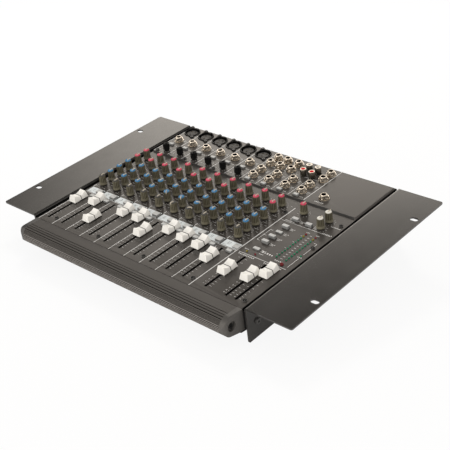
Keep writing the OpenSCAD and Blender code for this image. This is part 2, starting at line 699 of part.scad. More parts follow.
mic_flange = 1.2;
mic_depth = 18;                  // depth of the barrel below the jack panel
mic_floor = 13;                  // depth of the groove's floor below the jack panel
mic_recess = 0.6;                // depth of the core's face below the jack panel
contact_a = [-40, 90, 220];      // directions of the three contacts of such a socket
contact_ring = 4.2;
contact_r = 1.25;
module mic_sockets() {
    lug_r = 2.8;
    color([0.10, 0.10, 0.10]) placed() for (c = mic_xy) {
        // Shell: barrel, flange with two lugs for its screws, and latch
        difference() {
            union() {
                rod(c, mic_barrel_r, j_z - mic_depth, j_z + eps);
                rod(c, mic_r, j_z, j_z + mic_flange);
                for (s = [-1, 1]) {
                    rod(c + s * [-mic_tab[0], mic_tab[1]], lug_r, j_z, j_z + mic_flange);
                    translate([c[0], c[1], j_z]) rotate(way(s * [-mic_tab[0], mic_tab[1]]))
                        translate([0, -lug_r, 0]) cube([norm(mic_tab), 2 * lug_r, mic_flange]);
                }
                block(c + [0, mic_r - 1.4], [6, 3], j_z, j_z + 1.8);
            }
            rod(c, mic_groove_r, j_z - mic_floor, j_z + 3);
            rod(c, mic_core_r + fit, j_z - mic_depth - 1, j_z);
            for (s = [-1, 1]) rod(c + s * [-mic_tab[0], mic_tab[1]], 1.2 + fit, j_z - 1, j_z + 3);
        }
        // Core with its three contact holes, on the jack circuit board
        difference() {
            rod(c, mic_core_r, jack_board_z, j_z - mic_recess);
            for (a = contact_a)
                rod(at(c, contact_ring, a - 180), contact_r, j_z - mic_floor, j_z + 3);
        }
    }
}
module line_jacks() {
    top = j_z + bushing_h;
    color([0.14, 0.14, 0.14]) placed() for (c = jack_xy) difference() {
        union() {
            block(c, [12, 12.6], jack_board_z, j_under);
            rod(c, bushing_d / 2, j_under - eps, top);
        }
        rod(c, jack_bore / 2, top - jack_depth, top + 1);
    }
}
module jack_nuts() {
    color([0.80, 0.76, 0.70]) placed() for (c = jack_xy) difference() {
        union() {
            rod(c, nut_af / 2 + 0.9, j_z, j_z + 0.8);
            translate([c[0], c[1], j_z]) cylinder(h = nut_h * 0.6, d = nut_af / cos(30), $fn = 6);
            translate([c[0], c[1], j_z + nut_h * 0.6 - eps])
                cylinder(h = nut_h * 0.4, r1 = nut_af / 2 - 0.1, r2 = bushing_d / 2 + 0.5);
        }
        rod(c, bushing_d / 2 + fit, j_z - 1, j_z + nut_h + 1);
    }
}
rca_hole_r = 1.6;
rca_hole_depth = 4;              // below the jack panel
module rca_sockets() {
    color([0.55, 0.53, 0.50]) placed() for (c = rca_xy) difference() {
        union() {
            rod(c, rca_r, j_under, j_z + rca_h);
            block(c, [10, 10], jack_board_z, j_under);
        }
        rod(c, rca_hole_r, j_z - rca_hole_depth, j_z + rca_h + 1);
    }
}
out_r = 11.4;
module main_output_sockets() {
    color([0.12, 0.12, 0.12]) placed() for (x = out_x) on_rear(x) {
        difference() {
            union() {
                translate([0, 0, -18]) cylinder(h = 18 + eps, r = out_r);
                cylinder(h = 2, r = out_r + 1.8);
            }
            translate([0, 0, -15]) cylinder(h = 20, r = 9.6);
        }
        for (a = contact_a) translate(concat(at([0, 0], contact_ring, a), [-16]))
            cylinder(h = 11, r = contact_r);
    }
}
inlet_w = 30;
inlet_l = 23;
module power_inlet() {
    color([0.10, 0.10, 0.10]) placed() on_rear(inlet_x) {
        difference() {
            union() {
                translate([-inlet_w / 2, -inlet_l / 2, -20]) cube([inlet_w, inlet_l, 20 + eps]);
                translate([-inlet_w / 2 - 2, -inlet_l / 2 - 2, 0]) cube([inlet_w + 4, inlet_l + 4, 2]);
            }
            translate([-12.3, -8.3, -17]) cube([24.6, 16.6, 20]);
        }
        for (x = [-7, 0, 7]) translate([x - 1, -2 + (x == 0 ? 4 : 0), -18]) cube([2, 4, 12]);
    }
}

// ---- Controls ----------------------------------------------------------------------------

module pot_bodies() {
    color([0.20, 0.20, 0.22]) placed() for (c = pot_xy) difference() {
        union() {
            block(c, [9.4, 10], board_z, board_z + 7);
            rod(c, shaft_d / 2 + 1.2, board_z + 7 - eps, p_under - 0.4);
        }
        rod(c, shaft_d / 2 + run, board_z + 2, p_under + 1);
    }
}
carriage_l = 8;
fader_body_l = travel + carriage_l + 1.7 + 3.6;
carriage_z = board_z + 3;
module fader_bodies() {
    color([0.45, 0.45, 0.43]) placed() for (x = fader_x) difference() {
        block([x, slot_mid], [8.4, fader_body_l], board_z, p_under - 0.3);
        block([x, slot_mid], [5.6, fader_body_l - 3.6], board_z + 2.6, p_under - 2.4);
        block([x, slot_mid], [fader_slot_w, slot_l], p_under - 4, p_under);
    }
}
// Side view of a fader cap: a ridge at each leaning end and a finger dip between them
function cap_side() =
    let (b = cap_l / 2, ridge = 0.79 * b, foot = 0.6, dip = 0.62, n = 10)
    concat([[-b, 0], [-b, foot]],
           [for (k = [0:n]) let (u = -1 + 2 * k / n) [u * ridge, cap_h * (dip + (1 - dip) * u * u)]],
           [[b, foot], [b, 0]]);
// Travel from the rest setting is counted from the slot's front end
module fader(i) {
    x = fader_x[i];
    y = slot_y0 + (lever_l + 1.7) / 2 + travel * fader_set[i];
    z = p_z + cap_lift;
    w = cap_w / 2;
    tongue = 4.4;
    color([0.93, 0.91, 0.86]) placed() difference() {
        intersection() {
            translate([0, y, z]) along_x(x - w, x + w) polygon(cap_side());
            translate([x, 0, z]) along_y(y - cap_l, y + cap_l)
                polygon([[-w, 0], [-w, 0.6], [-w * 0.77, cap_h], [w * 0.77, cap_h], [w, 0.6], [w, 0]]);
        }
        block([x, y], [lever_t, lever_l] + [2, 2] * fit, z - 1, z + tongue + fit);
    }
    color([0.6, 0.6, 0.6]) placed() {
        block([x, y], [lever_t, lever_l], carriage_z, z + tongue);
        block([x, y], [5.6 - 2 * run, carriage_l], carriage_z, p_under - 2.4 - run);
    }
}
// A knob and its shaft; the pointer ridge faces the rear. d = skirt, base and top diameters
module knob(c, base_z, h, d, pointer) {
    z = base_z + knob_lift;
    bore = h - 3.6;
    body_h = h - 1.7;
    insert_h = 0.9;                  // coloured insert on the knob's top
    difference() {
        union() {
            translate([c[0], c[1], z]) cylinder(h = skirt_h, d = d[0]);
            translate([c[0], c[1], z]) cylinder(h = body_h, d1 = d[1], d2 = d[2]);
            translate([c[0], c[1], z + body_h - eps]) cylinder(h = insert_h, d = 0.84 * d[2]);
            block(c + [0, d[2] / 4], [pointer, d[2] / 2], z + skirt_h, z + h);
        }
        rod(c, shaft_d / 2 + fit, z - 1, z + bore);
    }
    rod(c, shaft_d / 2, board_z + 2 + run, z + bore - fit);
}
module control_knob(c) { placed() knob(c, p_z, knob_h, [skirt_d, knob_d, knob_top_d], 1.2); }
module trim_knob(i) {
    color([0.07, 0.07, 0.07]) placed()
        knob(trim_xy(i), j_z, trim_h, [trim_d + 0.2, trim_d, trim_d - 0.6], 1.6);
}
module aux_knobs() {
    color([0.80, 0.22, 0.35]) for (i = [1:channels - 1], y = [aux2_y, aux1_y])
        control_knob([ch_x(i), y]);
}
module eq_knobs() {
    color([0.20, 0.50, 0.75]) for (i = [1:channels - 1], y = [low_y, mid_y, high_y])
        control_knob([ch_x(i), y]);
}
module pan_knobs() {
    color([0.40, 0.39, 0.33]) for (i = [1:channels - 1]) control_knob([ch_x(i), pan_y]);
}
module trim_knobs() { for (i = [1:mono - 1]) trim_knob(i); }

// A push button: a key above its panel and a plunger in its switch body
module button(c, size, panel_z, h, pushed) {
    z = board_z + switch_h;
    top = panel_z + h - pushed;
    block(c, size, panel_z - panel_t - 0.9 - pushed, top);
    block(c, [3, 3], z - 4.4 - pushed, top - 1);
}
switch_h = 7.4;
module switch_bodies() {
    color([0.30, 0.30, 0.30]) placed() {
        for (c = concat(mute_xy, solo_xy, input_xy, master_xy)) difference() {
            block(c, [7.4, 7.4], board_z, board_z + switch_h);
            block(c, [3 + 2 * run, 3 + 2 * run], board_z + 0.6, board_z + switch_h + 1);
        }
        for (x = rocker_x) on_rear(x) difference() {
            union() {
                translate([-rocker_size[0] / 2 - 1.5, -rocker_size[1] / 2 - 1.5, -14])
                    cube([rocker_size[0] + 3, rocker_size[1] + 3, 14]);
                translate([-rocker_size[0] / 2 - 2.6, -rocker_size[1] / 2 - 2.6, 0])
                    cube([rocker_size[0] + 5.2, rocker_size[1] + 5.2, 1.2]);
            }
            translate([-rocker_size[0] / 2, -rocker_size[1] / 2, -11])
                cube([rocker_size[0], rocker_size[1], 20]);
            rocker_axle(pin_r + fit, 2);
        }
    }
}
module mute_buttons() {
    color([0.78, 0.78, 0.76]) placed()
        for (i = [0:channels - 2]) button(mute_xy[i], mute_size, p_z, mute_h, 0);
}
module solo_buttons() {
    color([0.74, 0.74, 0.72]) placed()
        for (c = solo_xy) button(c, solo_size, p_z, solo_h, 0);
}
module input_buttons() {
    color([0.74, 0.74, 0.72]) placed()
        for (c = input_xy) button(c, input_size, j_z, input_h, 0);
}
module master_buttons() {
    color([0.78, 0.78, 0.76]) placed() for (k = [0:len(master_xy) - 1])
        if (k != latched[0] && k != latched[1]) button(master_xy[k], master_size, p_z, master_h, 0);
}
module latched_buttons() {
    color([0.78, 0.78, 0.76]) placed() {
        for (k = latched) button(master_xy[k], master_size, p_z, master_h, press);
        button(mute_xy[channels - 1], mute_size, p_z, mute_h, press);
    }
}
// A rocker on its pin line, inside the rear wall, tipped to one side
rocker_pin = 3;
rocker_tip = 9;
pin_r = 1.2;
module rocker_axle(r, reach) {
    translate([-rocker_size[0] / 2 - reach, 0, -rocker_pin]) rotate([0, 90, 0])
        cylinder(h = rocker_size[0] + 2 * reach, r = r);
}
module rocker(x) {
    w = rocker_size[0] - 2 * run;
    l = rocker_size[1] - 3;
    color([0.06, 0.06, 0.06]) placed() on_rear(x) {
        translate([0, 0, -rocker_pin]) rotate([rocker_tip, 0, 0]) rotate([90, 0, 90])
            translate([0, 0, -w / 2]) linear_extrude(w)
                polygon([[-l / 2, -2], [-l / 2, 5], [0, 4.2], [l / 2, 5], [l / 2, -2], [0, -4.5]]);
        rocker_axle(pin_r, 1.2);
    }
}
module lamp(c, r) {
    rod(c, r, board_z, p_z + 0.4);
    translate([c[0], c[1], p_z + 0.4]) sphere(r);
}
module indicator_lamps() {
    color([0.15, 0.75, 0.40]) placed() {
        for (c = concat(meter_xy, small_lamp_xy)) lamp(c, lamp_r);
        lamp(big_lamp_xy, big_lamp_r);
    }
}

top_panel();
bottom_pan();
front_rail();
left_end_cap();
right_end_cap();
left_rack_ear();
right_rack_ear();
ear_screws();
panel_fasteners();
end_cap_screws();
rubber_feet();
main_circuit_board();
jack_circuit_board();
power_supply_board();
transformer();
ribbon_cable();
mic_sockets();
line_jacks();
jack_nuts();
rca_sockets();
pot_bodies();
fader_bodies();
switch_bodies();
indicator_lamps();
main_output_sockets();
power_inlet();
aux_knobs();
eq_knobs();
pan_knobs();
trim_knobs();
fader(0);  // fader_1
fader(1);  // fader_2
fader(2);  // fader_3
fader(3);  // fader_4
fader(4);  // fader_5
fader(5);  // fader_6
fader(6);  // fader_7
fader(7);  // fader_8
fader(8);  // fader_9
fader(9);  // fader_10
fader(10);  // fader_submaster
fader(11);  // fader_main_left
fader(12);  // fader_main_right
mute_buttons();
solo_buttons();
input_buttons();
master_buttons();
latched_buttons();
rocker(rocker_x[0]);  // power_switch
rocker(rocker_x[1]);  // phantom_switch
trim_knob(0);  // trim_knob_1
color([0.80, 0.22, 0.35]) control_knob([ch_x(0), aux1_y]);  // aux_1_knob_1
color([0.80, 0.22, 0.35]) control_knob([ch_x(0), aux2_y]);  // aux_2_knob_1
color([0.20, 0.50, 0.75]) control_knob([ch_x(0), high_y]);  // high_knob_1
color([0.20, 0.50, 0.75]) control_knob([ch_x(0), mid_y]);  // mid_knob_1
color([0.20, 0.50, 0.75]) control_knob([ch_x(0), low_y]);  // low_knob_1
color([0.40, 0.39, 0.33]) control_knob([ch_x(0), pan_y]);  // pan_knob_1
color([0.80, 0.22, 0.35]) control_knob(aux_master_xy);  // aux_master_knob
color([0.9, 0.9, 0.88]) control_knob(phones_level_xy);  // phones_level_knob
color([0.9, 0.9, 0.88]) control_knob(main_level_xy);  // main_level_knob
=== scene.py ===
"""Looks of a compact audio mixing console with rack ears.

Pieces are drawn in millimetres in the panel frame: X right, Y to the rear, Z square to the panel,
with Z = 0 on the ears' top faces. PANEL carries them into the row frame, whose floor is level.
"""
import json
from math import atan2, copysign, cos, pi, radians, sin

import bmesh
import bpy
import numpy as np
from mathutils import Euler, Matrix, Vector


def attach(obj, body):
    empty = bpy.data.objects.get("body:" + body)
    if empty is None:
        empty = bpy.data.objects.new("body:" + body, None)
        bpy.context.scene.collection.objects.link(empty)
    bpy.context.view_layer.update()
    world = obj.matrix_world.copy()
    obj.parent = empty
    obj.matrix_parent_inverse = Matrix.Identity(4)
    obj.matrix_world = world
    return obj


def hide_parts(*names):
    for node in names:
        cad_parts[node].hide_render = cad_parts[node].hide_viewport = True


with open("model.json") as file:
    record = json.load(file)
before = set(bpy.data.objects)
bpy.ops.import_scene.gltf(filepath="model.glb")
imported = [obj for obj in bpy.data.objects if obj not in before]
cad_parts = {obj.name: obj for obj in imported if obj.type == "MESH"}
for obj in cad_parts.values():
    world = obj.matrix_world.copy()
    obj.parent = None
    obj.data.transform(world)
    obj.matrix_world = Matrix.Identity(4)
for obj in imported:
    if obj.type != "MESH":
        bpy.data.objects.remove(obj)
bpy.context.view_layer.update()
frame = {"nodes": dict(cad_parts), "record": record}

MM = 0.001
RECORD = frame["record"]
MOUNTS = {m["name"]: m for m in RECORD["mounts"]}
JOINTS = {j["name"]: j for j in RECORD["behaviour"]["joints"]}
CONSOLE = "console"
EAR_T = 2.0

# ---- Panel frame ----

UP = Vector(MOUNTS["headphone_jack"]["axis"]).normalized()
RIGHT = Vector((1, 0, 0))
BACK = UP.cross(RIGHT)
ORIGIN = (Vector(MOUNTS["left_ear_seat"]["pos_m"]) + Vector(MOUNTS["right_ear_seat"]["pos_m"])) / 2 \
    + UP * EAR_T * MM
PANEL = Matrix((RIGHT, BACK, UP)).transposed().to_4x4()
PANEL.translation = ORIGIN
PANEL_INV = PANEL.inverted()


def place(entry):
    """Where a mount or a joint is, in panel-frame millimetres."""
    return PANEL_INV @ Vector(entry["pos_m"]) / MM


def solids(node):
    """The panel-frame boxes, in millimetres, of a CAD node's separate solids: [(low, high), ...]."""
    mesh = frame["nodes"][node].data
    co = np.array([v.co for v in mesh.vertices])
    keys, weld = np.unique(np.round(co, 6), axis=0, return_inverse=True)
    ends = weld.ravel()[np.array([e.vertices[:] for e in mesh.edges])]
    # Each vertex takes the lowest number among its neighbours until every solid shares one
    label = np.arange(len(keys))
    while (label[ends[:, 0]] != label[ends[:, 1]]).any():
        for side in (0, 1):
            np.minimum.at(label, ends[:, side], label[ends[:, 1 - side]])
        label = label[label]
    inv = np.array(PANEL_INV)
    local = (keys @ inv[:3, :3].T + inv[:3, 3]) / MM
    boxes = [(local[label == k].min(0), local[label == k].max(0)) for k in np.unique(label)]
    return sorted(boxes, key=lambda b: (round(b[0][0]), round(b[0][1])))


def centre(b):
    return ((b[0][0] + b[1][0]) / 2, (b[0][1] + b[1][1]) / 2)


def measure(b):
    """The centre, half width, foot and top of a box."""
    return centre(b), (b[1][0] - b[0][0]) / 2, b[0][2], b[1][2]


# ---- Mesh building ----

def polar(c, r, deg):
    """The point at a distance and an angle from c."""
    return c[0] + r * cos(radians(deg)), c[1] + r * sin(radians(deg))


def circle(c, r, z, n=40):
    return [(c[0] + r * cos(2 * pi * i / n), c[1] + r * sin(2 * pi * i / n), z)
            for i in range(n)]


class Form:
    """Collects closed shapes as vertices and faces, in panel millimetres."""

    def __init__(self):
        self.verts = []
        self.faces = []

    def tube(self, rings, closed=True):
        """A skin of rings of equal length; a closed one comes back to its first ring."""
        n, m, base = len(rings[0]), len(rings), len(self.verts)
        for ring in rings:
            self.verts.extend(ring)
        for k in range(m if closed else m - 1):
            a, b = base + k * n, base + (k + 1) % m * n
            for i in range(n):
                j = (i + 1) % n
                self.faces.append((a + i, a + j, b + j, b + i))

    def loft(self, rings):
        """A solid through rings. They run anticlockwise seen from the last one."""
        n, base = len(rings[0]), len(self.verts)
        self.tube(rings, closed=False)
        self.faces.append(tuple(base + i for i in reversed(range(n))))
        self.faces.append(tuple(len(self.verts) - n + i for i in range(n)))

    def turned(self, c, n, profile):
        """A solid of revolution about c: profile holds its (radius, height) pairs."""
        self.loft([circle(c, r, z, n) for r, z in profile])

    def turned_tube(self, c, n, profile):
        """A hollow of revolution about c, whose wall has profile as its cross-section."""
        self.tube([circle(c, r, z, n) for r, z in profile])

    def block(self, low, high):
        """A plain box, for thin print and hidden stems."""
        x0, y0, z0 = low
        x1, y1, z1 = high
        self.loft([[(x0, y0, z), (x1, y0, z), (x1, y1, z), (x0, y1, z)] for z in (z0, z1)])


def hexagon(c, across, z, turn, cut, n=48):
    """A ring of n points on a hexagon, its corners cut back to a circle of cut x the corner radius."""
    ring = []
    flat = across / 2
    corner = flat / cos(pi / 6)
    for i in range(n):
        a = 2 * pi * i / n
        sector = (a + pi / 6) % (2 * pi / 6) - pi / 6
        r = min(flat / cos(sector), corner * cut)
        ring.append((c[0] + r * cos(a + turn), c[1] + r * sin(a + turn), z))
    return ring


def rounded(c, size, radius, z, steps=4):
    """A ring round a rectangle with round corners."""
    hx, hy = size[0] / 2 - radius, size[1] / 2 - radius
    ring = []
    for sx, sy, start in ((1, 1, 0), (-1, 1, 90), (-1, -1, 180), (1, -1, 270)):
        for k in range(steps + 1):
            ring.append((*polar((c[0] + sx * hx, c[1] + sy * hy), radius, start + 90 * k / steps), z))
    return ring


def add_object(name, data):
    obj = bpy.data.objects.new(name, data)
    bpy.context.scene.collection.objects.link(obj)
    return obj


def make(name, form, material, body=CONSOLE, replaces=(), sharp=34):
    """Turns a form into a smooth-shaded object that rides on a body."""
    mesh = bpy.data.meshes.new(name)
    mesh.from_pydata([tuple(v * MM for v in p) for p in form.verts], [], form.faces)
    bm = bmesh.new()
    bm.from_mesh(mesh)
    bmesh.ops.recalc_face_normals(bm, faces=bm.faces)
    for f in bm.faces:
        f.smooth = True
    for e in bm.edges:
        if len(e.link_faces) == 2 and e.calc_face_angle(0) > radians(sharp):
            e.smooth = False
    bm.to_mesh(mesh)
    bm.free()
    obj = add_object(name, mesh)
    mesh.transform(PANEL)
    mesh.materials.append(material)
    bpy.context.view_layer.update()
    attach(obj, body)
    if replaces:
        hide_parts(*replaces)
    return obj


# ---- Materials ----

def feed(tree, node, sockets):
    """Sets a node's inputs, each to a value or to the output that feeds it."""
    for key, value in sockets.items():
        if isinstance(value, bpy.types.NodeSocket):
            tree.links.new(value, node.inputs[key])
        else:
            node.inputs[key].default_value = value


def add_node(tree, kind, sockets, output=0, **settings):
    """Adds a shader node with its settings and inputs, and gives one of its outputs."""
    node = tree.nodes.new("ShaderNode" + kind)
    for name, value in settings.items():
        setattr(node, name, value)
    feed(tree, node, sockets)
    return node.outputs[output]


def shader(name, base, rough, metallic=0.0, grain=0.0, grain_size=0.25, tone=0.05, tone_size=6,
           rough_var=0.05, specular=0.5, stretch=(1, 1, 1), edge_lighten=0.0):
    """A procedural finish: fine grain in the bump, slow changes of tone and gloss, and a lighter colour on sharp
    edges.
    """
    mat = bpy.data.materials.new(name)
    mat.use_nodes = True
    tree = mat.node_tree
    coords = add_node(tree, "TexCoord", {}, "Object")
    coords = add_node(tree, "Mapping", {"Scale": [s / MM for s in stretch], "Vector": coords}, "Vector")

    def noise(size, detail):
        return add_node(tree, "TexNoise", {"Scale": 1 / size, "Detail": detail, "Vector": coords}, "Fac")

    def spread(source, start, end, low, high):
        return add_node(tree, "MapRange", {"From Min": start, "From Max": end, "To Min": low, "To Max": high,
                                           "Value": source}, "Result")

    def tint(factor, a, b):
        return add_node(tree, "Mix", {"A": a, "B": b, "Factor": factor}, "Result", data_type="RGBA")

    def scaled(gain, lift=0.0):
        return (*[min(1, c * gain + lift) for c in base], 1)

    colour = tint(noise(tone_size, 3), scaled(1 - tone), scaled(1 + tone))
    # Sharp convex edges, found by pointiness, get a lighter colour
    if edge_lighten:
        edge_mask = spread(add_node(tree, "NewGeometry", {}, "Pointiness"), 0.52, 0.62, 0.0, edge_lighten)
        colour = tint(edge_mask, colour, scaled(2.5, 0.05))
    gloss = spread(noise(tone_size / 3, 4), 0.3, 0.7, rough - rough_var, rough + rough_var)
    finish = {"Base Color": colour, "Metallic": metallic, "Roughness": gloss, "Specular IOR Level": specular}
    if grain:
        finish["Normal"] = add_node(tree, "Bump", {"Strength": grain, "Distance": 0.05 * MM,
                                                   "Height": noise(grain_size, 2)}, "Normal")
    feed(tree, tree.nodes["Principled BSDF"], finish)
    return mat


# Settings that several finishes share
PAINTED = dict(grain_size=0.3, tone=0.03, tone_size=60, rough_var=0.012, edge_lighten=0.35)
KNOB_CAP = dict(specular=0.3, grain=0.2)
KEY_GRAIN = dict(grain=0.25, tone=0.04)

PAINT = shader("satin_paint", (0.030, 0.026, 0.0225), 0.25, grain=0.15, **PAINTED)
# One ear paint in two copies that differ only in specular level: painted sheen, stronger on the right ear than on
# the left
EAR_SHEEN_PAINTS = [shader("ear_paint_sheen_" + side, (0.008, 0.007, 0.006), 0.18, specular=gloss, grain=0.1, **PAINTED)
             for side, gloss in (("left", 0.56), ("right", 0.92))]
PAN_PAINT = shader("pan_paint", (0.010, 0.0094, 0.009), 0.5, specular=0.3, grain=0.4, grain_size=0.4,
                   tone=0.06, tone_size=50, edge_lighten=0.3)
RAIL = shader("anodised_rail", (0.076, 0.070, 0.064), 0.5, tone=0.02, specular=0.2, tone_size=40,
              stretch=(0.15, 1, 1))
# Painted highlight for the crests between the rail's grooves
RAIL_HIGHLIGHT = shader("rail_painted_highlight", (0.26, 0.24, 0.225), 0.4, tone_size=20)
CAP_PLASTIC = shader("end_cap_plastic", (0.074, 0.069, 0.064), 0.45, grain=0.5, grain_size=0.3, tone_size=30)
OLIVE = shader("olive_plastic", (0.125, 0.112, 0.074), 0.5, grain=0.3, tone=0.06, tone_size=8)
# Painted shade for the floors of the knobs' flutes
OLIVE_PAINTED_SHADE = shader("olive_painted_shade", (0.035, 0.031, 0.02), 0.6, specular=0.2, tone=0.06, tone_size=8)
CRIMSON = shader("crimson_plastic", (0.52, 0.042, 0.095), 0.42, **KNOB_CAP)
BLUE = shader("blue_plastic", (0.035, 0.165, 0.33), 0.42, **KNOB_CAP)
GREY_CAP = shader("grey_plastic", (0.055, 0.053, 0.050), 0.45, **KNOB_CAP)
WHITE_CAP = shader("white_plastic", (0.66, 0.64, 0.58), 0.42, grain=0.2, tone=0.03)
CREAM = shader("cream_plastic", (0.82, 0.80, 0.755), 0.42, grain=0.25, grain_size=0.3, tone=0.03, tone_size=12)
POINTER = shader("pointer_plastic", (0.50, 0.45, 0.36), 0.5, tone=0.03, **KNOB_CAP)
KEY = shader("key_plastic", (0.50, 0.50, 0.485), 0.45, **KEY_GRAIN)
# The keys' sides: the same plastic as their faces, darkened as painted shade
KEY_SIDE_SHADE = shader("key_sides_painted_shade", (0.20, 0.20, 0.195), 0.5, **KEY_GRAIN)
BLACK = shader("black_plastic", (0.004,) * 3, 0.42, specular=0.15, grain=0.3, tone=0.08, tone_size=8)
CHARCOAL = shader("charcoal_plastic", (0.006, 0.0057, 0.0054), 0.42, specular=0.1, grain=0.3,
                  grain_size=0.3, tone=0.08, tone_size=8)
CORE = shader("core_plastic", (0.045, 0.042, 0.039), 0.42, specular=0.3, grain=0.3, grain_size=0.3)
# Flat black that is painted shade, laid in slots, grooves and gaps and on screw heads
PAINTED_SHADE = shader("shade_black", (0.004,) * 3, 0.9, specular=0.05, grain=0.3, grain_size=0.6, tone_size=30)
RUBBER = shader("rubber", (0.022,) * 3, 0.8, grain=0.6, grain_size=0.4, tone=0.08, tone_size=8)
NICKEL = shader("nickel_plate", (0.72, 0.66, 0.58), 0.2, metallic=1.0, grain=0.12, grain_size=0.5, tone=0.06,
                rough_var=0.08)
DARK_NICKEL = shader("dark_nickel", (0.15, 0.14, 0.12), 0.3, metallic=1.0)
STEEL = shader("zinc_steel", (0.55, 0.54, 0.52), 0.38, metallic=1.0, grain=0.15, grain_size=0.5, tone=0.06)
BLACK_STEEL = shader("black_steel", (0.022, 0.021, 0.020), 0.36, grain=0.2, grain_size=0.4, tone=0.1,
                     tone_size=30, edge_lighten=0.5)
GOLD = shader("contact_gold", (0.75, 0.55, 0.25), 0.3, metallic=1.0, tone_size=3)
PRINT = shader("white_print", (0.70, 0.69, 0.67), 0.55, tone_size=4)
STRIP = shader("strip_print", (0.70, 0.735, 0.735), 0.55, tone=0.03)
STRIP_INK = shader("strip_ink", (0.22, 0.23, 0.24), 0.55, tone_size=4)
LAMP_GREEN = shader("green_lens", (0.01, 0.17, 0.085), 0.25, tone_size=2)
LAMP_YELLOW = shader("yellow_lens", (0.24, 0.19, 0.01), 0.25, tone_size=2)
LAMP_RED = shader("red_lens", (0.17, 0.010, 0.014), 0.25, tone_size=2)
RCA_RED = shader("red_ring", (0.75, 0.01, 0.02), 0.5, tone_size=3)
RCA_WHITE = shader("white_ring", (0.68, 0.66, 0.60), 0.4, tone_size=3)
BOARD = shader("board_mask", (0.02, 0.10, 0.045), 0.35, grain=0.2, grain_size=0.8, tone=0.15, tone_size=5)
WINDING = shader("winding_tape", (0.55, 0.40, 0.06), 0.5, grain=0.4, grain_size=1.5, tone=0.08)
RIBBON = shader("ribbon_grey", (0.42, 0.42, 0.41), 0.5, grain=0.5, grain_size=0.6, tone_size=30,
                stretch=(1, 0.1, 0.1))


def dress(node, material, bevel, angle=60, segments=3):
    """Gives a CAD node its finish and, where asked, soft edges."""
    obj = frame["nodes"][node]
    obj.data.materials.clear()
    obj.data.materials.append(material)
    if bevel:
        mod = obj.modifiers.new("soft_edges", "BEVEL")
        mod.width = bevel * MM
        mod.segments = segments
        mod.limit_method = "ANGLE"
        mod.angle_limit = radians(angle)
        mod.use_clamp_overlap = True


# ---- Places read from the frame ----

PANEL_Z = place(JOINTS["pan_knob_1_turn"]).z
JACK_Z = place(MOUNTS["microphone_input_1"]).z
ROWS = {name: place(JOINTS[name + "_turn"]).y
        for name in ("pan_knob_1", "low_knob_1", "mid_knob_1", "high_knob_1", "aux_2_knob_1", "aux_1_knob_1")}


def wide_solids(node, width=8.0):
    """The solids of a node that are wider than a shaft or a stem."""
    return [b for b in solids(node) if b[1][0] - b[0][0] > width]


CHANNEL_X = [place(JOINTS["pan_knob_1_turn"]).x] + [centre(b)[0] for b in wide_solids("pan_knobs")]
PITCH = CHANNEL_X[1] - CHANNEL_X[0]
FADERS = ["fader_%d" % (i + 1) for i in range(len(CHANNEL_X))] + \
         ["fader_submaster", "fader_main_left", "fader_main_right"]


# ---- Knobs ----

FLUTES = 12
FLUTE_DEPTH = 1.2
KNOB_SIDES = 6 * FLUTES
BASE_R = 4.75          # of a knob's barrel, at its foot
TOP_R = 4.3            # and under its cap


def fluted(c, r, z, depth, n=KNOB_SIDES):
    """A ring with flutes cut into it; at a depth of 0 it is a plain circle."""
    ring = []
    for i in range(n):
        a = 2 * pi * i / n
        wave = 0.5 + 0.5 * cos(FLUTES * a)
        ring.append((c[0] + (r - depth * wave ** 2) * cos(a), c[1] + (r - depth * wave ** 2) * sin(a), z))
    return ring


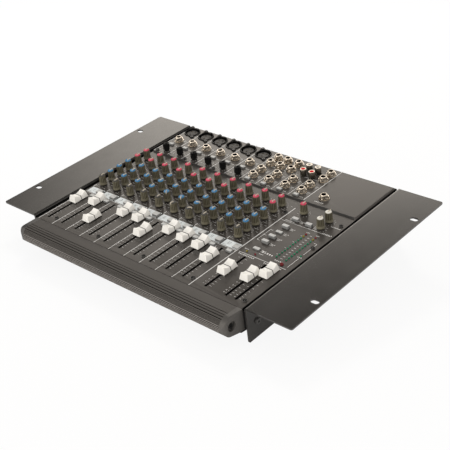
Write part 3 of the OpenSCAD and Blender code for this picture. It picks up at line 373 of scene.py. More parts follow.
def knob_forms(boxes, turns):
    """The body, the coloured cap, the pointer and the shaft of each knob in a list of CAD boxes, and painted shade
    in its flutes.
    """
    body, cap, pointer, shaft, groove = (Form() for _ in range(5))
    cap_r = 0.86 * TOP_R
    for k, b in enumerate(boxes):
        c, skirt, z0, z1 = measure(b)
        shoulder = z1 - 1.7
        shaft.turned(c, 24, ((3.0, z0 - 2.6), (3.0, z0 + 0.5)))
        body.loft([fluted(c, r, z, depth) for r, z, depth in (
            (skirt - 0.5, z0, 0), (skirt, z0 + 0.3, 0), (skirt, z0 + 1.5, 0), (skirt - 0.3, z0 + 2.0, 0),
            (BASE_R, z0 + 2.3, 0.05), (BASE_R - 0.05, z0 + 2.9, FLUTE_DEPTH),
            ((BASE_R + TOP_R) / 2, (z0 + shoulder) / 2, FLUTE_DEPTH), (TOP_R + 0.05, shoulder - 0.6, FLUTE_DEPTH),
            (TOP_R - 0.1, shoulder - 0.15, 0.15), (TOP_R - 0.3, shoulder, 0), (cap_r - 0.3, shoulder, 0))])
        # Painted shade: a dark strip on the floor of each flute
        for i in range(FLUTES):
            a = 2 * pi * i / FLUTES
            out, side = Vector((cos(a), sin(a))), Vector((-sin(a), cos(a)))
            groove.loft([[(c[0] + p.x, c[1] + p.y, z) for p in (
                out * (r - 0.95) - side * 0.3, out * (r - 0.95) + side * 0.3,
                out * (r - 0.5) + side * 0.36, out * (r - 0.5) - side * 0.36)]
                for r, z in ((BASE_R, z0 + 3.2), (TOP_R + 0.05, shoulder - 0.7))])
        cap.turned(c, 40, ((cap_r, shoulder - 0.1), (cap_r, z1 - 1.0), (cap_r - 0.1, z1 - 0.86),
                           (cap_r - 0.3, z1 - 0.8), (cap_r - 0.4, z1 - 0.8), (cap_r - 0.6, z1 - 0.8),
                           (0.4, z1 - 0.8)))
        # Pointer ridge: it rises from the middle of the cap and runs down over the rim
        a = radians(90 + turns.get(k, 0))
        along, across = Vector((cos(a), sin(a), 0)), Vector((-sin(a), cos(a), 0))
        rings = []
        for reach, half, high_z, low_z in ((-0.3, 0.4, z1 - 0.78, z1 - 1.0), (-0.1, 0.65, z1 - 0.2, z1 - 1.0),
                                           (0.1, 0.6, z1, z1 - 1.0), (0.9, 0.55, z1, z1 - 2.2),
                                           (1.0, 0.5, z1 - 0.3, z1 - 2.6), (1.06, 0.46, z1 - 1.2, z1 - 2.9)):
            mid = Vector((c[0], c[1], 0)) + along * (TOP_R * reach)
            corners = ((-half, low_z), (half, low_z), (half * 0.8, high_z), (-half * 0.8, high_z))
            rings.append([tuple(mid + across * s + Vector((0, 0, z))) for s, z in corners])
        pointer.loft(rings)
    return body, cap, pointer, shaft, groove


def make_knobs(node, finish, body=CONSOLE, turns={}):
    """Knobs with a coloured cap; turns gives, in degrees, the knobs that don't point to the rear."""
    forms = knob_forms(wide_solids(node), turns)
    make(node + "_bodies", forms[0], OLIVE, body, replaces=(node,))
    make(node + "_caps", forms[1], finish, body)
    make(node + "_pointers", forms[2], POINTER, body)
    make(node + "_shafts", forms[3], BLACK, body)
    make(node + "_flute_shade", forms[4], OLIVE_PAINTED_SHADE, body)


def make_trims(node, body=CONSOLE):
    """Black trim knobs: a ribbed barrel with a broad ridge that points to the rear."""
    barrel, ridge = Form(), Form()
    for b in wide_solids(node):
        c, r, z0, z1 = measure(b)
        barrel.loft([fluted(c, q, z, depth) for q, z, depth in (
            (r - 0.3, z0, 0), (r, z0 + 0.3, 0), (r - 0.02, z0 + 1.0, 0), (r - 0.15, z0 + 1.2, 0.35),
            (r - 0.3, z1 - 1.5, 0.35), (r - 0.45, z1 - 1.0, 0), (r - 1.0, z1 - 0.75, 0), (1.0, z1 - 0.7, 0))])
        barrel.turned(c, 24, ((3.0, z0 - 2.6), (3.0, z0 + 0.5)))
        ridge.loft([[(c[0] + sx * w, c[1] + y, z) for sx, w, z in
                     ((-1, 0.9, z1 - 1.6), (1, 0.9, z1 - 1.6), (1, 0.7, top), (-1, 0.7, top))]
                    for y, top in ((-1.0, z1 - 0.6), (0.2, z1), (r - 0.8, z1), (r - 0.35, z1 - 0.3))])
    make(node + "_barrels", barrel, BLACK, body, replaces=(node,))
    make(node + "_pointers", ridge, BLACK, body)


make_knobs("aux_knobs", CRIMSON)
make_knobs("eq_knobs", BLUE, turns={9: -143, 10: -25, 12: -153, 15: -70})
make_knobs("pan_knobs", GREY_CAP, turns={4: 180, 5: -60})
make_trims("trim_knobs")
make_trims("trim_knob_1", "trim_knob_1_shaft")
for nodes, finish, slot in (("aux_1_knob_1 aux_2_knob_1", CRIMSON, "knob_red"),
                                 ("high_knob_1 mid_knob_1 low_knob_1", BLUE, "knob_blue"),
                                 ("pan_knob_1", GREY_CAP, "knob_olive"), ("aux_master_knob", CRIMSON, "knob_red"),
                                 ("phones_level_knob main_level_knob", WHITE_CAP, "knob_white")):
    for knob in nodes.split():
        make_knobs(knob, finish, body=knob + "_shaft")


# ---- Faders ----

SLOT_END = 3.65        # how far a slot reaches beyond its fader's travel at each end


def cap_section(x, y, z0, top, w, h, proud=0.0):
    """One cross-section of a fader cap at y: sides that lean in from the foot to a flat top."""
    foot, r = min(0.6, 0.4 * top), min(0.25, 0.2 * top)
    half = w * (1 - 0.23 * (top - foot) / (h - 0.6))
    right = [(w - 0.2, 0.0), (w, 0.2), (w, foot), (half, top - r), (half - 0.3 * r, top - 0.3 * r), (half - r, top)]
    right = [(px + proud, pz + (proud if pz > foot else 0.0)) for px, pz in right]
    ring = right + [(-px, pz) for px, pz in reversed(right)]
    return [(x + px, y, z0 + pz) for px, pz in ring]


def cap_height(u, h):
    """Height of the cap's top line: a finger dip between two ridges, and ends that lean in."""
    a = abs(u)
    if a <= 0.79:
        return h * (0.62 + 0.38 * (a / 0.79) ** 2)
    return 0.6 + (h - 0.6) * (1 - a) / 0.21


def make_fader(node, body):
    b = wide_solids(node)[0]
    (x, y), w, z0, z1 = measure(b)
    h, half_l = z1 - z0, (b[1][1] - b[0][1]) / 2
    form = Form()
    ends = [-1, -0.98, -0.9, -0.815, -0.79, -0.765, -0.65, -0.5, -0.35, -0.2, -0.1]
    rings = []
    for u in ends + [0] + [-e for e in reversed(ends)]:
        inset = 0.2 if abs(u) == 1 else 0.12 if abs(u) == 0.79 else 0.0
        rings.append(cap_section(x, y + u * half_l, z0, cap_height(u, h) - inset, w - inset / 2, h))
    form.loft(rings)
    make(node + "_cap", form, CREAM, body, replaces=(node,), sharp=18)
    line = Form()
    line.loft([cap_section(x, y + dy, z0, cap_height(0, h), w, h, proud=0.1) for dy in (-0.45, 0.45)])
    make(node + "_line", line, BLACK, body)
    # Lever and carriage, as the CAD solid has them
    stem_low, stem_high = min(solids(node), key=lambda b: b[0][2])
    stem = Form()
    lever_t, lever_l, carriage_top = 0.6, 2.8, PANEL_Z - 4.3
    stem.loft([rounded((x, y), (2 * lever_t, 2 * lever_l), 0.3, z) for z in (carriage_top - 0.5, z0 + 2.0)])
    sx, sy = stem_high[0] - stem_low[0], stem_high[1] - stem_low[1]
    stem.loft([rounded((x, y), (sx - i, sy - i), 0.5, z) for z, i in
               ((stem_low[2], 0.4), (stem_low[2] + 0.3, 0), (carriage_top - 0.3, 0), (carriage_top, 0.4))])
    make(node + "_lever", stem, STEEL, body)
    return x, y


stems = {name: make_fader(name, name + "_slider") for name in FADERS}


def slot_span(name):
    """Low and high end of a fader's travel, at its stem."""
    low, high = JOINTS[name + "_slide"]["range_m"]
    return stems[name][1] + low / MM, stems[name][1] + high / MM


def make_slot_shade():
    """Painted shade: dark lips round the fader slots, and a lining down their walls."""
    form = Form()
    for name in FADERS:
        low, high = slot_span(name)
        c, length = (stems[name][0], (low + high) / 2), high - low + 2 * SLOT_END
        form.tube([rounded(c, (2.46 - i, length - 0.04 - i), 0.3, PANEL_Z - down)
                   for i, down in ((0, 4.0), (0, 0.1), (0.2, 0.1), (0.2, 4.0))])
        form.tube([rounded(c, (2.4 + i, length + i), 0.3, PANEL_Z + up)
                   for i, up in ((0, 0), (0.75, 0), (0.75, 0.05), (0, 0.05))])
    make("fader_slot_liners", form, PAINTED_SHADE)


make_slot_shade()


# ---- Jacks ----

def make_jacks():
    nut, bush, liner, spring, bodies = (Form() for _ in range(5))
    nuts = sorted(solids("jack_nuts"), key=centre)
    housings = solids("line_jacks")
    across = nuts[0][1][1] - nuts[0][0][1] - 1.8
    wall, seat = 4.5, 4.55
    for b in nuts:
        c, _, z0, z1 = measure(b)
        jack = min((m for m in MOUNTS.values() if m["kind"] == "bore"),
                   key=lambda m: (place(m).xy - Vector(c)).length)
        bore, depth = jack["dims"]["r_mm"], jack["dims"]["length_mm"]
        top = place(jack).z + depth / 2
        hex_top = z0 + 3.0
        turn = 0.35 * sin(c[0] * 0.7 + c[1])
        # Nut: a round flange, a hexagon and a round collar
        flange = ((seat, z0), (across / 2 + 0.85, z0), (across / 2 + 0.9, z0 + 0.15), (across / 2 + 0.8, z0 + 0.5))
        flats = ((across - 0.3, z0 + 0.6, 0.95), (across, z0 + 0.9, 0.99), (across, hex_top - 0.7, 0.99),
                 (across - 0.2, hex_top, 0.90))
        collar = ((wall + 0.95, hex_top + 0.1), (wall + 0.8, z1 - 0.5), (wall + 0.4, z1 - 0.1), (seat, z1 - 0.1))
        nut.tube([circle(c, r, z, 48) for r, z in flange] + [hexagon(c, w, z, turn, cut) for w, z, cut in flats]
                 + [circle(c, r, z, 48) for r, z in collar])
        thread = []
        z = z0 + 0.2
        while z < top - 0.9:
            thread += [(wall - 0.22, z), (wall, z + 0.3)]
            z += 0.6
        bush.turned_tube(c, 36, [(bore + 0.62, z0 - 1.2), (wall - 0.2, z0 - 1.2)] + thread + [
            (wall - 0.1, top - 0.5), (wall - 0.5, top), (bore + 0.1, top), (bore + 0.02, top - 0.2),
            (bore + 0.02, top - 0.7), (bore + 0.62, top - 0.7)])
        floor_z = top - depth
        liner.turned_tube(c, 32, ((bore, floor_z), (bore + 0.6, floor_z), (bore + 0.6, top - 0.72),
                                  (bore, top - 0.72)))
        liner.turned(c, 32, ((bore + 0.6, floor_z - 0.8), (bore + 0.6, floor_z)))
        low, high = next(s for s in housings if all(abs(p - q) < 1 for p, q in zip(centre(s), c)))
        size = (high[0] - low[0], high[1] - low[1])
        bodies.loft([rounded(c, size, 0.8, zz) for zz in (low[2], floor_z - 0.9)])
        well = (bore * 2 + 1.2, bore * 2 + 1.2)
        bodies.tube([rounded(c, s, r, zz, k) for s, r, zz, k in (
            (well, bore + 0.55, low[2] + 1, 6), (size, 0.8, low[2] + 1, 6), (size, 0.8, z0 - 1.5, 6),
            (well, bore + 0.55, z0 - 1.5, 6))])
        for k, z in enumerate((floor_z + 5, floor_z + 12)):
            p = Vector(polar(c, bore - 0.25, 180 * k))
            spring.loft([rounded(p, (0.35, 1.6), 0.15, zz, 2) for zz in (z, z + 3.5)])
    make("jack_nut_tops", nut, NICKEL, replaces=("jack_nuts", "line_jacks"))
    make("jack_bushings", bush, NICKEL)
    make("jack_liners", liner, BLACK)
    make("jack_housings", bodies, BLACK)
    make("jack_springs", spring, GOLD)


make_jacks()


# ---- Microphone and phono sockets ----

def plate(form, outer, holes, z0, z1):
    """A flat plate with holes, between two heights; the rings' own heights don't count."""
    bm = bmesh.new()
    rings = [outer] + holes
    for ring in rings:
        vs = [bm.verts.new((p[0], p[1], 0)) for p in ring]
        for i, v in enumerate(vs):
            bm.edges.new((v, vs[(i + 1) % len(vs)]))
    bmesh.ops.triangle_fill(bm, edges=bm.edges[:], use_beauty=True, normal=(0, 0, 1))
    bm.verts.index_update()
    tris = [tuple(v.index for v in f.verts) for f in bm.faces]
    count = len(bm.verts)
    base = len(form.verts)
    flat = [(v.co.x, v.co.y) for v in bm.verts]
    form.verts += [(x, y, z1) for x, y in flat] + [(x, y, z0) for x, y in flat]
    form.faces += [tuple(base + i for i in t) for t in tris]
    form.faces += [tuple(base + count + i for i in reversed(t)) for t in tris]
    start = 0
    for ring in rings:
        n = len(ring)
        for i in range(n):
            a, b = base + start + i, base + start + (i + 1) % n
            form.faces.append((a, b, b + count, a + count))
        start += n
    bm.free()


def make_mic_sockets():
    """Round sockets: a shell with two lugs, a groove, a core with three contacts, and a latch, with painted shade
    in the groove.
    """
    shell, core, contact, latch, shade = Form(), Form(), Form(), Form(), Form()
    low = min(b[0][2] for b in solids("mic_sockets"))
    for k in range(1, 7):
        p = place(MOUNTS["microphone_input_%d" % k])
        c, z = (p.x, p.y), p.z
        shell.turned_tube(c, 56, [(r, z + up) for r, up in (
            (9.75, 0.9), (9.8, -13), (7.7, -13), (7.7, -18), (10.6, -18), (10.6, 0.02), (11.5, 0.02),
            (11.7, 0.3), (11.55, 0.95), (11.2, 1.2), (10.2, 1.2))])
        # Screw lugs, corner to corner
        for s in (-1, 1):
            t = Vector((-s * 10.2, s * 11.6))
            out = t.normalized()
            side = Vector((out.y, -out.x))
            heading = atan2(t.y, t.x)
            outline = [(c[0] + t.x + 2.7 * cos(heading + radians(a)),
                        c[1] + t.y + 2.7 * sin(heading + radians(a))) for a in range(-90, 91, 15)]
            for sign in (-1, 1):
                q = out * 10.4 - side * sign * 5.2
                outline.append((c[0] + q.x, c[1] + q.y))
            plate(shell, outline, [], z + 0.03, z + 1.1)
        holes = [polar(c, 4.2, deg - 180) for deg in (-40, 90, 220)]
        plate(core, circle(c, 7.5, 0, 48), [circle(h, 1.25, 0, 20) for h in holes], z - 3, z - 0.6)
        core.loft([circle(c, 7.6, low, 48), circle(c, 7.6, z - 3, 48)])
        core.turned_tube(c, 48, ((7.4, z - 3), (7.6, z - 3), (7.6, z - 0.8), (7.4, z - 0.65)))
        # Painted shade down the groove's walls and floor
        shade.turned_tube(c, 56, [(r, z + up) for r, up in (
            (9.78, 0.85), (9.6, 0.85), (9.6, -12.8), (7.72, -12.8), (7.72, -0.9), (7.62, -0.9), (7.62, -12.9),
            (9.78, -12.9))])
        # Key rib in the groove
        core.loft([rounded((c[0], c[1] - 8.6), (1.8, 2.0), 0.4, zz, 3) for zz in (z - 12, z - 0.8)])
        for h in holes:
            contact.turned_tube(h, 16, ((0.75, z - 3.0), (1.1, z - 3.0), (1.1, z - 1.1), (0.75, z - 1.1)))
        latch.loft([rounded((c[0], c[1] + 10.3), (5.6 - i, 2.8 - i), 0.6, zz) for zz, i in
                    ((z + 1.1, 0), (z + 1.5, 0), (z + 1.8, 0.5))])
    make("mic_socket_shells", shell, CHARCOAL, replaces=("mic_sockets",))
    make("mic_socket_cores", core, CORE)
    make("mic_socket_contacts", contact, GOLD)
    make("mic_socket_latches", latch, BLACK)
    make("mic_socket_groove_shade", shade, PAINTED_SHADE, sharp=60)


def make_phono_sockets():
    body, shell, ring, red, white = Form(), Form(), Form(), Form(), Form()
    boxes = wide_solids("rca_sockets", 6)
    front = min(centre(b)[1] for b in boxes)
    for b in boxes:
        c, _, z0, z1 = measure(b)
        r = 4.2
        body.loft([rounded(c, (10, 10), 1.0, z) for z in (z0, JACK_Z - 1.6)])
        shell.turned_tube(c, 40, (
            (3.6, JACK_Z - 1.5), (r, JACK_Z - 1.5), (r, JACK_Z + 1.2), (r - 0.3, JACK_Z + 1.5),
            (r - 0.3, JACK_Z + 2.2), (r, JACK_Z + 2.5), (r, z1 - 1.3), (r - 0.2, z1 - 1.0), (3.6, z1 - 1.0)))
        ring.turned_tube(c, 40, (
            (2.95, z1 - 1.2), (r - 0.25, z1 - 1.05), (r - 0.1, z1 - 0.9), (r - 0.1, z1 - 0.15),
            (r - 0.25, z1), (3.0, z1), (2.95, z1 - 0.1)))
        insulator = red if abs(c[1] - front) < 2 else white
        insulator.turned_tube(c, 32, ((1.6, z1 - 6), (2.9, z1 - 6), (2.9, z1 - 0.35), (2.7, z1 - 0.2),
                                      (1.8, z1 - 0.2), (1.6, z1 - 0.4)))
    make("phono_bodies", body, BLACK, replaces=("rca_sockets",))
    make("phono_shells", shell, DARK_NICKEL)
    make("phono_rings", ring, NICKEL)
    make("phono_red_inserts", red, RCA_RED)
    make("phono_white_inserts", white, RCA_WHITE)


make_mic_sockets()
make_phono_sockets()


# ---- Lamps ----

def make_lamps():
    lens = {"green": Form(), "yellow": Form(), "red": Form()}
    boxes = solids("indicator_lamps")
    xs = [centre(b)[0] for b in boxes]
    columns = [x for x in sorted(set(round(x, 1) for x in xs)) if sum(abs(x - v) < 0.2 for v in xs) > 5]
    found = {}
    for x in columns:
        column = sorted((b for b in boxes if abs(centre(b)[0] - x) < 0.3), key=lambda b: b[0][1])
        for b, hue in zip(column, ["green"] * 10 + ["yellow", "red"]):
            found[id(b)] = hue
    loose = sorted((b for b in boxes if id(b) not in found), key=lambda b: b[0][0])
    for b, hue in zip(loose, ("yellow", "red", "red", "green")):
        found[id(b)] = hue
    for b in boxes:
        c, r, z0, z1 = measure(b)
        z = z1 - r
        dome = [(r * cos(a), z + r * sin(a)) for a in map(radians, (0, 18, 36, 54, 70, 84))]
        lens[found[id(b)]].turned(c, 24, [(r, z0), (r, z - 0.1)] + dome)
    make("green_lamps", lens["green"], LAMP_GREEN, replaces=("indicator_lamps",))
    make("yellow_lamps", lens["yellow"], LAMP_YELLOW)
    make("red_lamps", lens["red"], LAMP_RED)
    return [(centre(b), found[id(b)]) for b in boxes], columns


LAMPS, METER_X = make_lamps()


# ---- Keys and rockers ----

KEY_REACH = 2.4        # how far a key reaches below the panel's top face
PRESS = 2.0


def make_keys(node, body, pushed=0.0):
    """Push keys with crisp flat faces, on their plungers; their sides carry painted shade, darker than the faces.
    """
    form, face = Form(), Form()
    for low, high in solids(node):
        c = centre((low, high))
        size = (high[0] - low[0], high[1] - low[1])
        surface = JACK_Z if c[1] > STEP_Y else PANEL_Z
        top, bottom = high[2], surface - KEY_REACH - pushed
        form.loft([rounded(c, (size[0] - i, size[1] - i), 0.3, z) for z, i in
                   ((bottom, 0.0), (top - 0.9, 0.1), (top - 0.35, 0.4))])
        face.loft([rounded(c, (size[0] - i, size[1] - i), 0.3, z) for z, i in
                   ((top - 0.5, 0.5), (top - 0.2, 0.5), (top - 0.05, 0.6), (top, 0.8))])
        form.loft([rounded(c, (3, 3), 0.3, z) for z in (low[2], bottom + 0.5)])
    make(node + "_caps", form, KEY_SIDE_SHADE, body, replaces=(node,), sharp=24)
    make(node + "_faces", face, KEY, body, sharp=24)


STEP_Y = min(centre(b)[1] for b in wide_solids("trim_knobs")) - 12
for kind in ("mute", "solo", "input", "master"):
    make_keys(kind + "_buttons", kind + "_buttons_keys")
make_keys("latched_buttons", "latched_buttons_keys", PRESS)


# ---- Print on the panels ----

PRINT_T = 0.03
EDGE_Y = place(MOUNTS["left_ear_seat"]).y - 144.5      # front end of the panel's lines
LINE_LEFT = 9.3        # from a channel's middle to the line at its left
# A fader's scale: share of the travel, and the number printed there
SCALE = list(zip((0.0, 0.07, 0.15, 0.25, 0.36, 0.48, 0.61, 0.75, 0.87, 1.0),
                 ("60", "50", "40", "30", "20", "15", "10", "5", "0", "5")))


class Ink(Form):
    """Flat marks a hair above a panel."""

    def __init__(self, z):
        super().__init__()
        self.z = z

    def bar(self, x0, y0, x1, y1):
        self.block((x0, y0, self.z), (x1, y1, self.z + PRINT_T))

    def stroke(self, x0, y0, x1, y1, w):
        """A straight line of width w in any direction."""
        d = Vector((x1 - x0, y1 - y0)).normalized() * (w / 2)
        corners = [(x0 - d.x + d.y, y0 - d.y - d.x), (x1 + d.x + d.y, y1 + d.y - d.x),
                   (x1 + d.x - d.y, y1 + d.y + d.x), (x0 - d.x - d.y, y0 - d.y + d.x)]
        self.loft([[(x, y, z) for x, y in corners] for z in (self.z, self.z + PRINT_T)])

    def digit(self, value, x, y, h):
        """A digit of straight strokes, its lower left corner at (x, y)."""
        w, t = h * 0.55, h * 0.12
        segments = {"a": (0, h, w, h), "b": (w, h / 2, w, h), "c": (w, 0, w, h / 2), "d": (0, 0, w, 0),
                    "e": (0, 0, 0, h / 2), "f": (0, h / 2, 0, h), "g": (0, h / 2, w, h / 2)}
        lit = {"0": "abcdef", "1": "bc", "2": "abged", "3": "abgcd", "4": "fgbc", "5": "afgcd", "6": "afgedc",
               "7": "abc", "8": "abcdefg", "9": "abcdfg"}[value]
        for s in lit:
            x0, y0, x1, y1 = segments[s]
            self.stroke(x + x0, y + y0, x + x1, y + y1, t)

    def number(self, text, x, y, h):
        """A number, centred on x, with its foot at y."""
        step = h * 0.82
        start = x - (len(text) * step - (step - h * 0.55)) / 2
        for i, figure in enumerate(text):
            self.digit(figure, start + i * step, y, h)

    def caption(self, x, y, length, h):
        """A short row of blocks that stands for a caption: no letters, only its grey."""
        n = max(2, int(length / (h * 0.95)))
        step = length / n
        for i in range(n):
            tall = h * (1.0 if (i * 7 + n) % 3 else 0.72)
            self.bar(x + i * step, y, x + i * step + step * 0.5, y + tall * 0.75)

    def captions(self, x, y, rows):
        """Captions at their offsets from (x, y): rows holds (dx, dy, length, height)."""
        for dx, dy, length, h in rows:
            self.caption(x + dx, y + dy, length, h)


def knob_scale(ink, c, r=7.3):
    """Ticks round a rotary control."""
    for deg in range(-60, 241, 30):
        ink.stroke(*polar(c, r - 0.35, deg), *polar(c, r + 0.75, deg), 0.28)


def wide_centres(node):
    return [centre(b) for b in wide_solids(node)]


def print_control_panel():
    """Channel lines, writing strips and scales; gives the print and the places that more print needs."""
    ink, strip, marks = Ink(PANEL_Z), Ink(PANEL_Z), Ink(PANEL_Z + PRINT_T)
    low_y, high_y = slot_span("fader_1")
    slot_top = high_y + SLOT_END
    strip_low, strip_high = slot_top + 5.6, slot_top + 17.4
    for node in ("aux_knobs", "eq_knobs", "pan_knobs", "trim_knob_1", *reversed(ROWS), "aux_master_knob",
                 "phones_level_knob", "main_level_knob"):
        for c in wide_centres(node):
            if c[1] < STEP_Y:
                knob_scale(ink, c)
    row_ys = sorted(ROWS.values())
    pan_y, top_y = row_ys[0], row_ys[-1]
    for i, x in enumerate(CHANNEL_X):
        left = x - LINE_LEFT
        ink.bar(left - 0.35, EDGE_Y, left + 0.35, strip_low - 5.9)
        ink.bar(left - 0.35, strip_high + 0.8, left + 0.35, pan_y - 4.2)
        for y0, y1 in zip(row_ys, row_ys[1:]):
            ink.bar(left - 0.3, y0 + 4.2, left + 0.3, y1 - 4.2)
        # Writing strip with its channel number, and the keys' captions
        x0, x1 = left + 1.1, left + PITCH - 1.5
        strip.bar(x0, strip_low, x1, strip_high)
        marks.number(str(i + 1), x - 1.5, strip_low + 4.6, 4.2)
        marks.caption(x0 + 1.0, strip_low + 1.4, 6.0, 1.5)
        marks.caption(x1 - 8.0, strip_high - 2.2, 6.4, 1.4)
        for y in row_ys:
            ink.captions(x, y, ((5.2, -7.2, 5.4, 1.0), (10.6, 3.6, 3.2, 0.9), (-8.3, -6.4, 3.0, 0.8)))
        # Fader scale: numbers to the left of the slot, dashes to the right
        for share, label in SCALE:
            y = low_y + (high_y - low_y) * share
            ink.bar(x + 2.0, y - 0.13, x + 4.7, y + 0.13)
            ink.bar(left + 0.3, y - 0.17, left + 2.2, y + 0.17)
            ink.bar(x - 3.0, y - 0.13, x - 1.9, y + 0.13)
            ink.number(label, x - 5.0, y - 0.45, 0.9)
    # Line round the strips and the thick line beside the master section
    last = CHANNEL_X[-1] + 17.4
    ink.bar(CHANNEL_X[0] - 8.6, strip_low - 1.5, last, strip_low - 0.9)
    ink.bar(last - 0.5, EDGE_Y, last + 0.5, top_y + 3.9)
    return ink, strip, marks, slot_top, last


def print_master_section(ink, slot_top, last):
    sub_x, left_x, right_x = (stems[n][0] for n in FADERS[-3:])
    low_y, high_y = slot_span("fader_submaster")
    for share, label in SCALE:
        y = low_y + (high_y - low_y) * share
        for x, x0, x1 in ((sub_x, 2.9, 6.2), (sub_x, -3.2, -2.0), (left_x, 2.7, 5.2), (right_x, -5.2, -2.7),
                          (right_x, 2.7, 4.9), (left_x, -3.2, -2.0)):
            ink.bar(x + x0, y - 0.15, x + x1, y + 0.15)
        for x in (sub_x, left_x):
            ink.number(label, x - 5.7, y - 0.55, 1.1)
    # Section lines
    buttons = wide_centres("master_buttons") + [c for c in wide_centres("latched_buttons") if c[0] > last]
    buttons.sort(key=lambda c: c[1])
    ink.bar(last + 3.3, slot_top + 5.2, right_x + 10.5, slot_top + 5.8)
    head_y = slot_top + 85.6
    ink.bar(last + 2.2, head_y - 0.22, right_x + 12.5, head_y + 0.22)
    for x, y in buttons:
        ink.captions(x, y, ((7.2, 0.3, 7.0, 1.6), (7.2, -2.0, 5.2, 1.4)))
    # Bracket beside the column of keys
    ys = [y for x, y in buttons if abs(x - sub_x) < 4 and slot_top + 30 < y < slot_top + 70]
    x = last + 5.0
    ink.bar(x - 0.25, min(ys), x + 0.25, max(ys))
    for y in ys:
        ink.bar(x, y - 0.25, x + 3.8, y + 0.25)
    # Meter: scale dashes between and beside the two columns
    rows = sorted({round(c[1], 2) for c, hue in LAMPS if any(abs(c[0] - x) < 0.3 for x in METER_X)})
    mid = sum(METER_X) / 2
    for k, y in enumerate(rows):
        ink.bar(mid - 1.6, y - 0.25, mid + 1.6, y + 0.25)
        if k % 3 == 1:
            ink.bar(METER_X[0] - 4.4, y - 0.2, METER_X[0] - 2.4, y + 0.2)
    for x in METER_X:
        ink.caption(x - 2.6, rows[-1] + 3.6, 5.2, 1.8)
    ink.caption(mid - 5.0, rows[0] - 6.6, 10.0, 2.2)
    # Bracket beside the small lamp at the right, and captions
    lamp = max((c for c, hue in LAMPS if c[0] > METER_X[-1] + 5), key=lambda c: c[0])
    x = METER_X[-1] + 9.4
    ink.bar(x - 0.25, lamp[1] + 4.0, x + 0.25, rows[-3])
    ink.bar(x - 0.25, rows[0] - 10, x + 0.25, lamp[1] - 4.5)
    ink.bar(x - 4.4, rows[-3] - 0.25, x, rows[-3] + 0.25)
    ink.caption(x - 3.2, lamp[1] - 3.2, 6.4, 1.8)
    ink.captions(sub_x, slot_top, ((-12, 13.5, 6.4, 1.6), (9.6, 13.5, 6.4, 1.6), (-12, 1.8, 24, 2.4)))
    ink.caption(left_x - 4.6, slot_top + 1.8, 26, 2.4)
    aux_1, aux_2 = ROWS["aux_1_knob_1"], ROWS["aux_2_knob_1"]
    for x, y in ((sub_x - 6.8, aux_2 - 2.4), (sub_x - 11, head_y + 1.6), (left_x + 14.6, aux_1 - 8),
                 (left_x + 14.6, aux_2 - 8), (left_x - 6.5, aux_2 - 9)):
        ink.caption(x, y, 14, 2.0)
    ink.caption(sub_x + 10.2, slot_top + 17.6, 17, 3.4)


def make_rail_shade_and_highlights():
    """The painted shade in the rail's long grooves and in the seam between the rail and the panel, and painted
    highlights on the crests between the grooves.
    """
    form = Form()
    low, high = solids("front_rail")[0]
    screw = solids("end_cap_screws")[0]
    y, z = (screw[0][1] + screw[1][1]) / 2, (screw[0][2] + screw[1][2]) / 2
    nose = y - low[1]
    ends = (low[0] + 0.02, high[0] - 0.02)
    lines = [(3.5, 90, 1.0, 0.8), (0, 91, 1.0, 0.6), (0, 107, 1.0, 0.6), (0, 122, 1.0, 0.6)]
    lines += [(0, 131 + 5 * k, 0.4, 0.4) for k in range(6)]
    lines += [(0, 164 + 9 * k, 0.8, 0.5) for k in range(3)] + [(0, 192 + 9 * k, 0.7, 0.5) for k in range(5)]
    for shift, angle, width, depth in lines:
        out = Vector(polar((0, 0), 1, angle))
        side = Vector((-out.y, out.x)) * (width / 2 - 0.03)
        ring = []
        for reach, sign in ((0.01, -1), (0.01, 1), (0.1, 1), (0.1, -1)):
            ring.append(Vector((y + shift, z)) + out * (nose - depth + reach) + side * sign)
        form.loft([[(x, py, pz) for py, pz in ring] for x in ends])
    seam = Ink(PANEL_Z)
    seam.bar(low[0], EDGE_Y - 0.75, high[0], EDGE_Y - 0.3)
    form.faces += [tuple(len(form.verts) + i for i in f) for f in seam.faces]
    form.verts += seam.verts
    make("rail_groove_shade", form, PAINTED_SHADE)
    # Painted highlights: light strips along the crests between the lower grooves
    crest_highlight = Form()
    for angle in (159, 168.5, 177.5, 187, 196.5, 205):
        out = Vector(polar((0, 0), 1, angle))
        ring = [(y + out.x * (nose + r) - out.y * w, z + out.y * (nose + r) + out.x * w)
                for r, w in ((-0.05, -0.3), (-0.05, 0.3), (0.05, 0.2), (0.05, -0.2))]
        crest_highlight.loft([[(x, py, pz) for py, pz in ring] for x in ends])
    make("rail_crest_highlights", crest_highlight, RAIL_HIGHLIGHT)


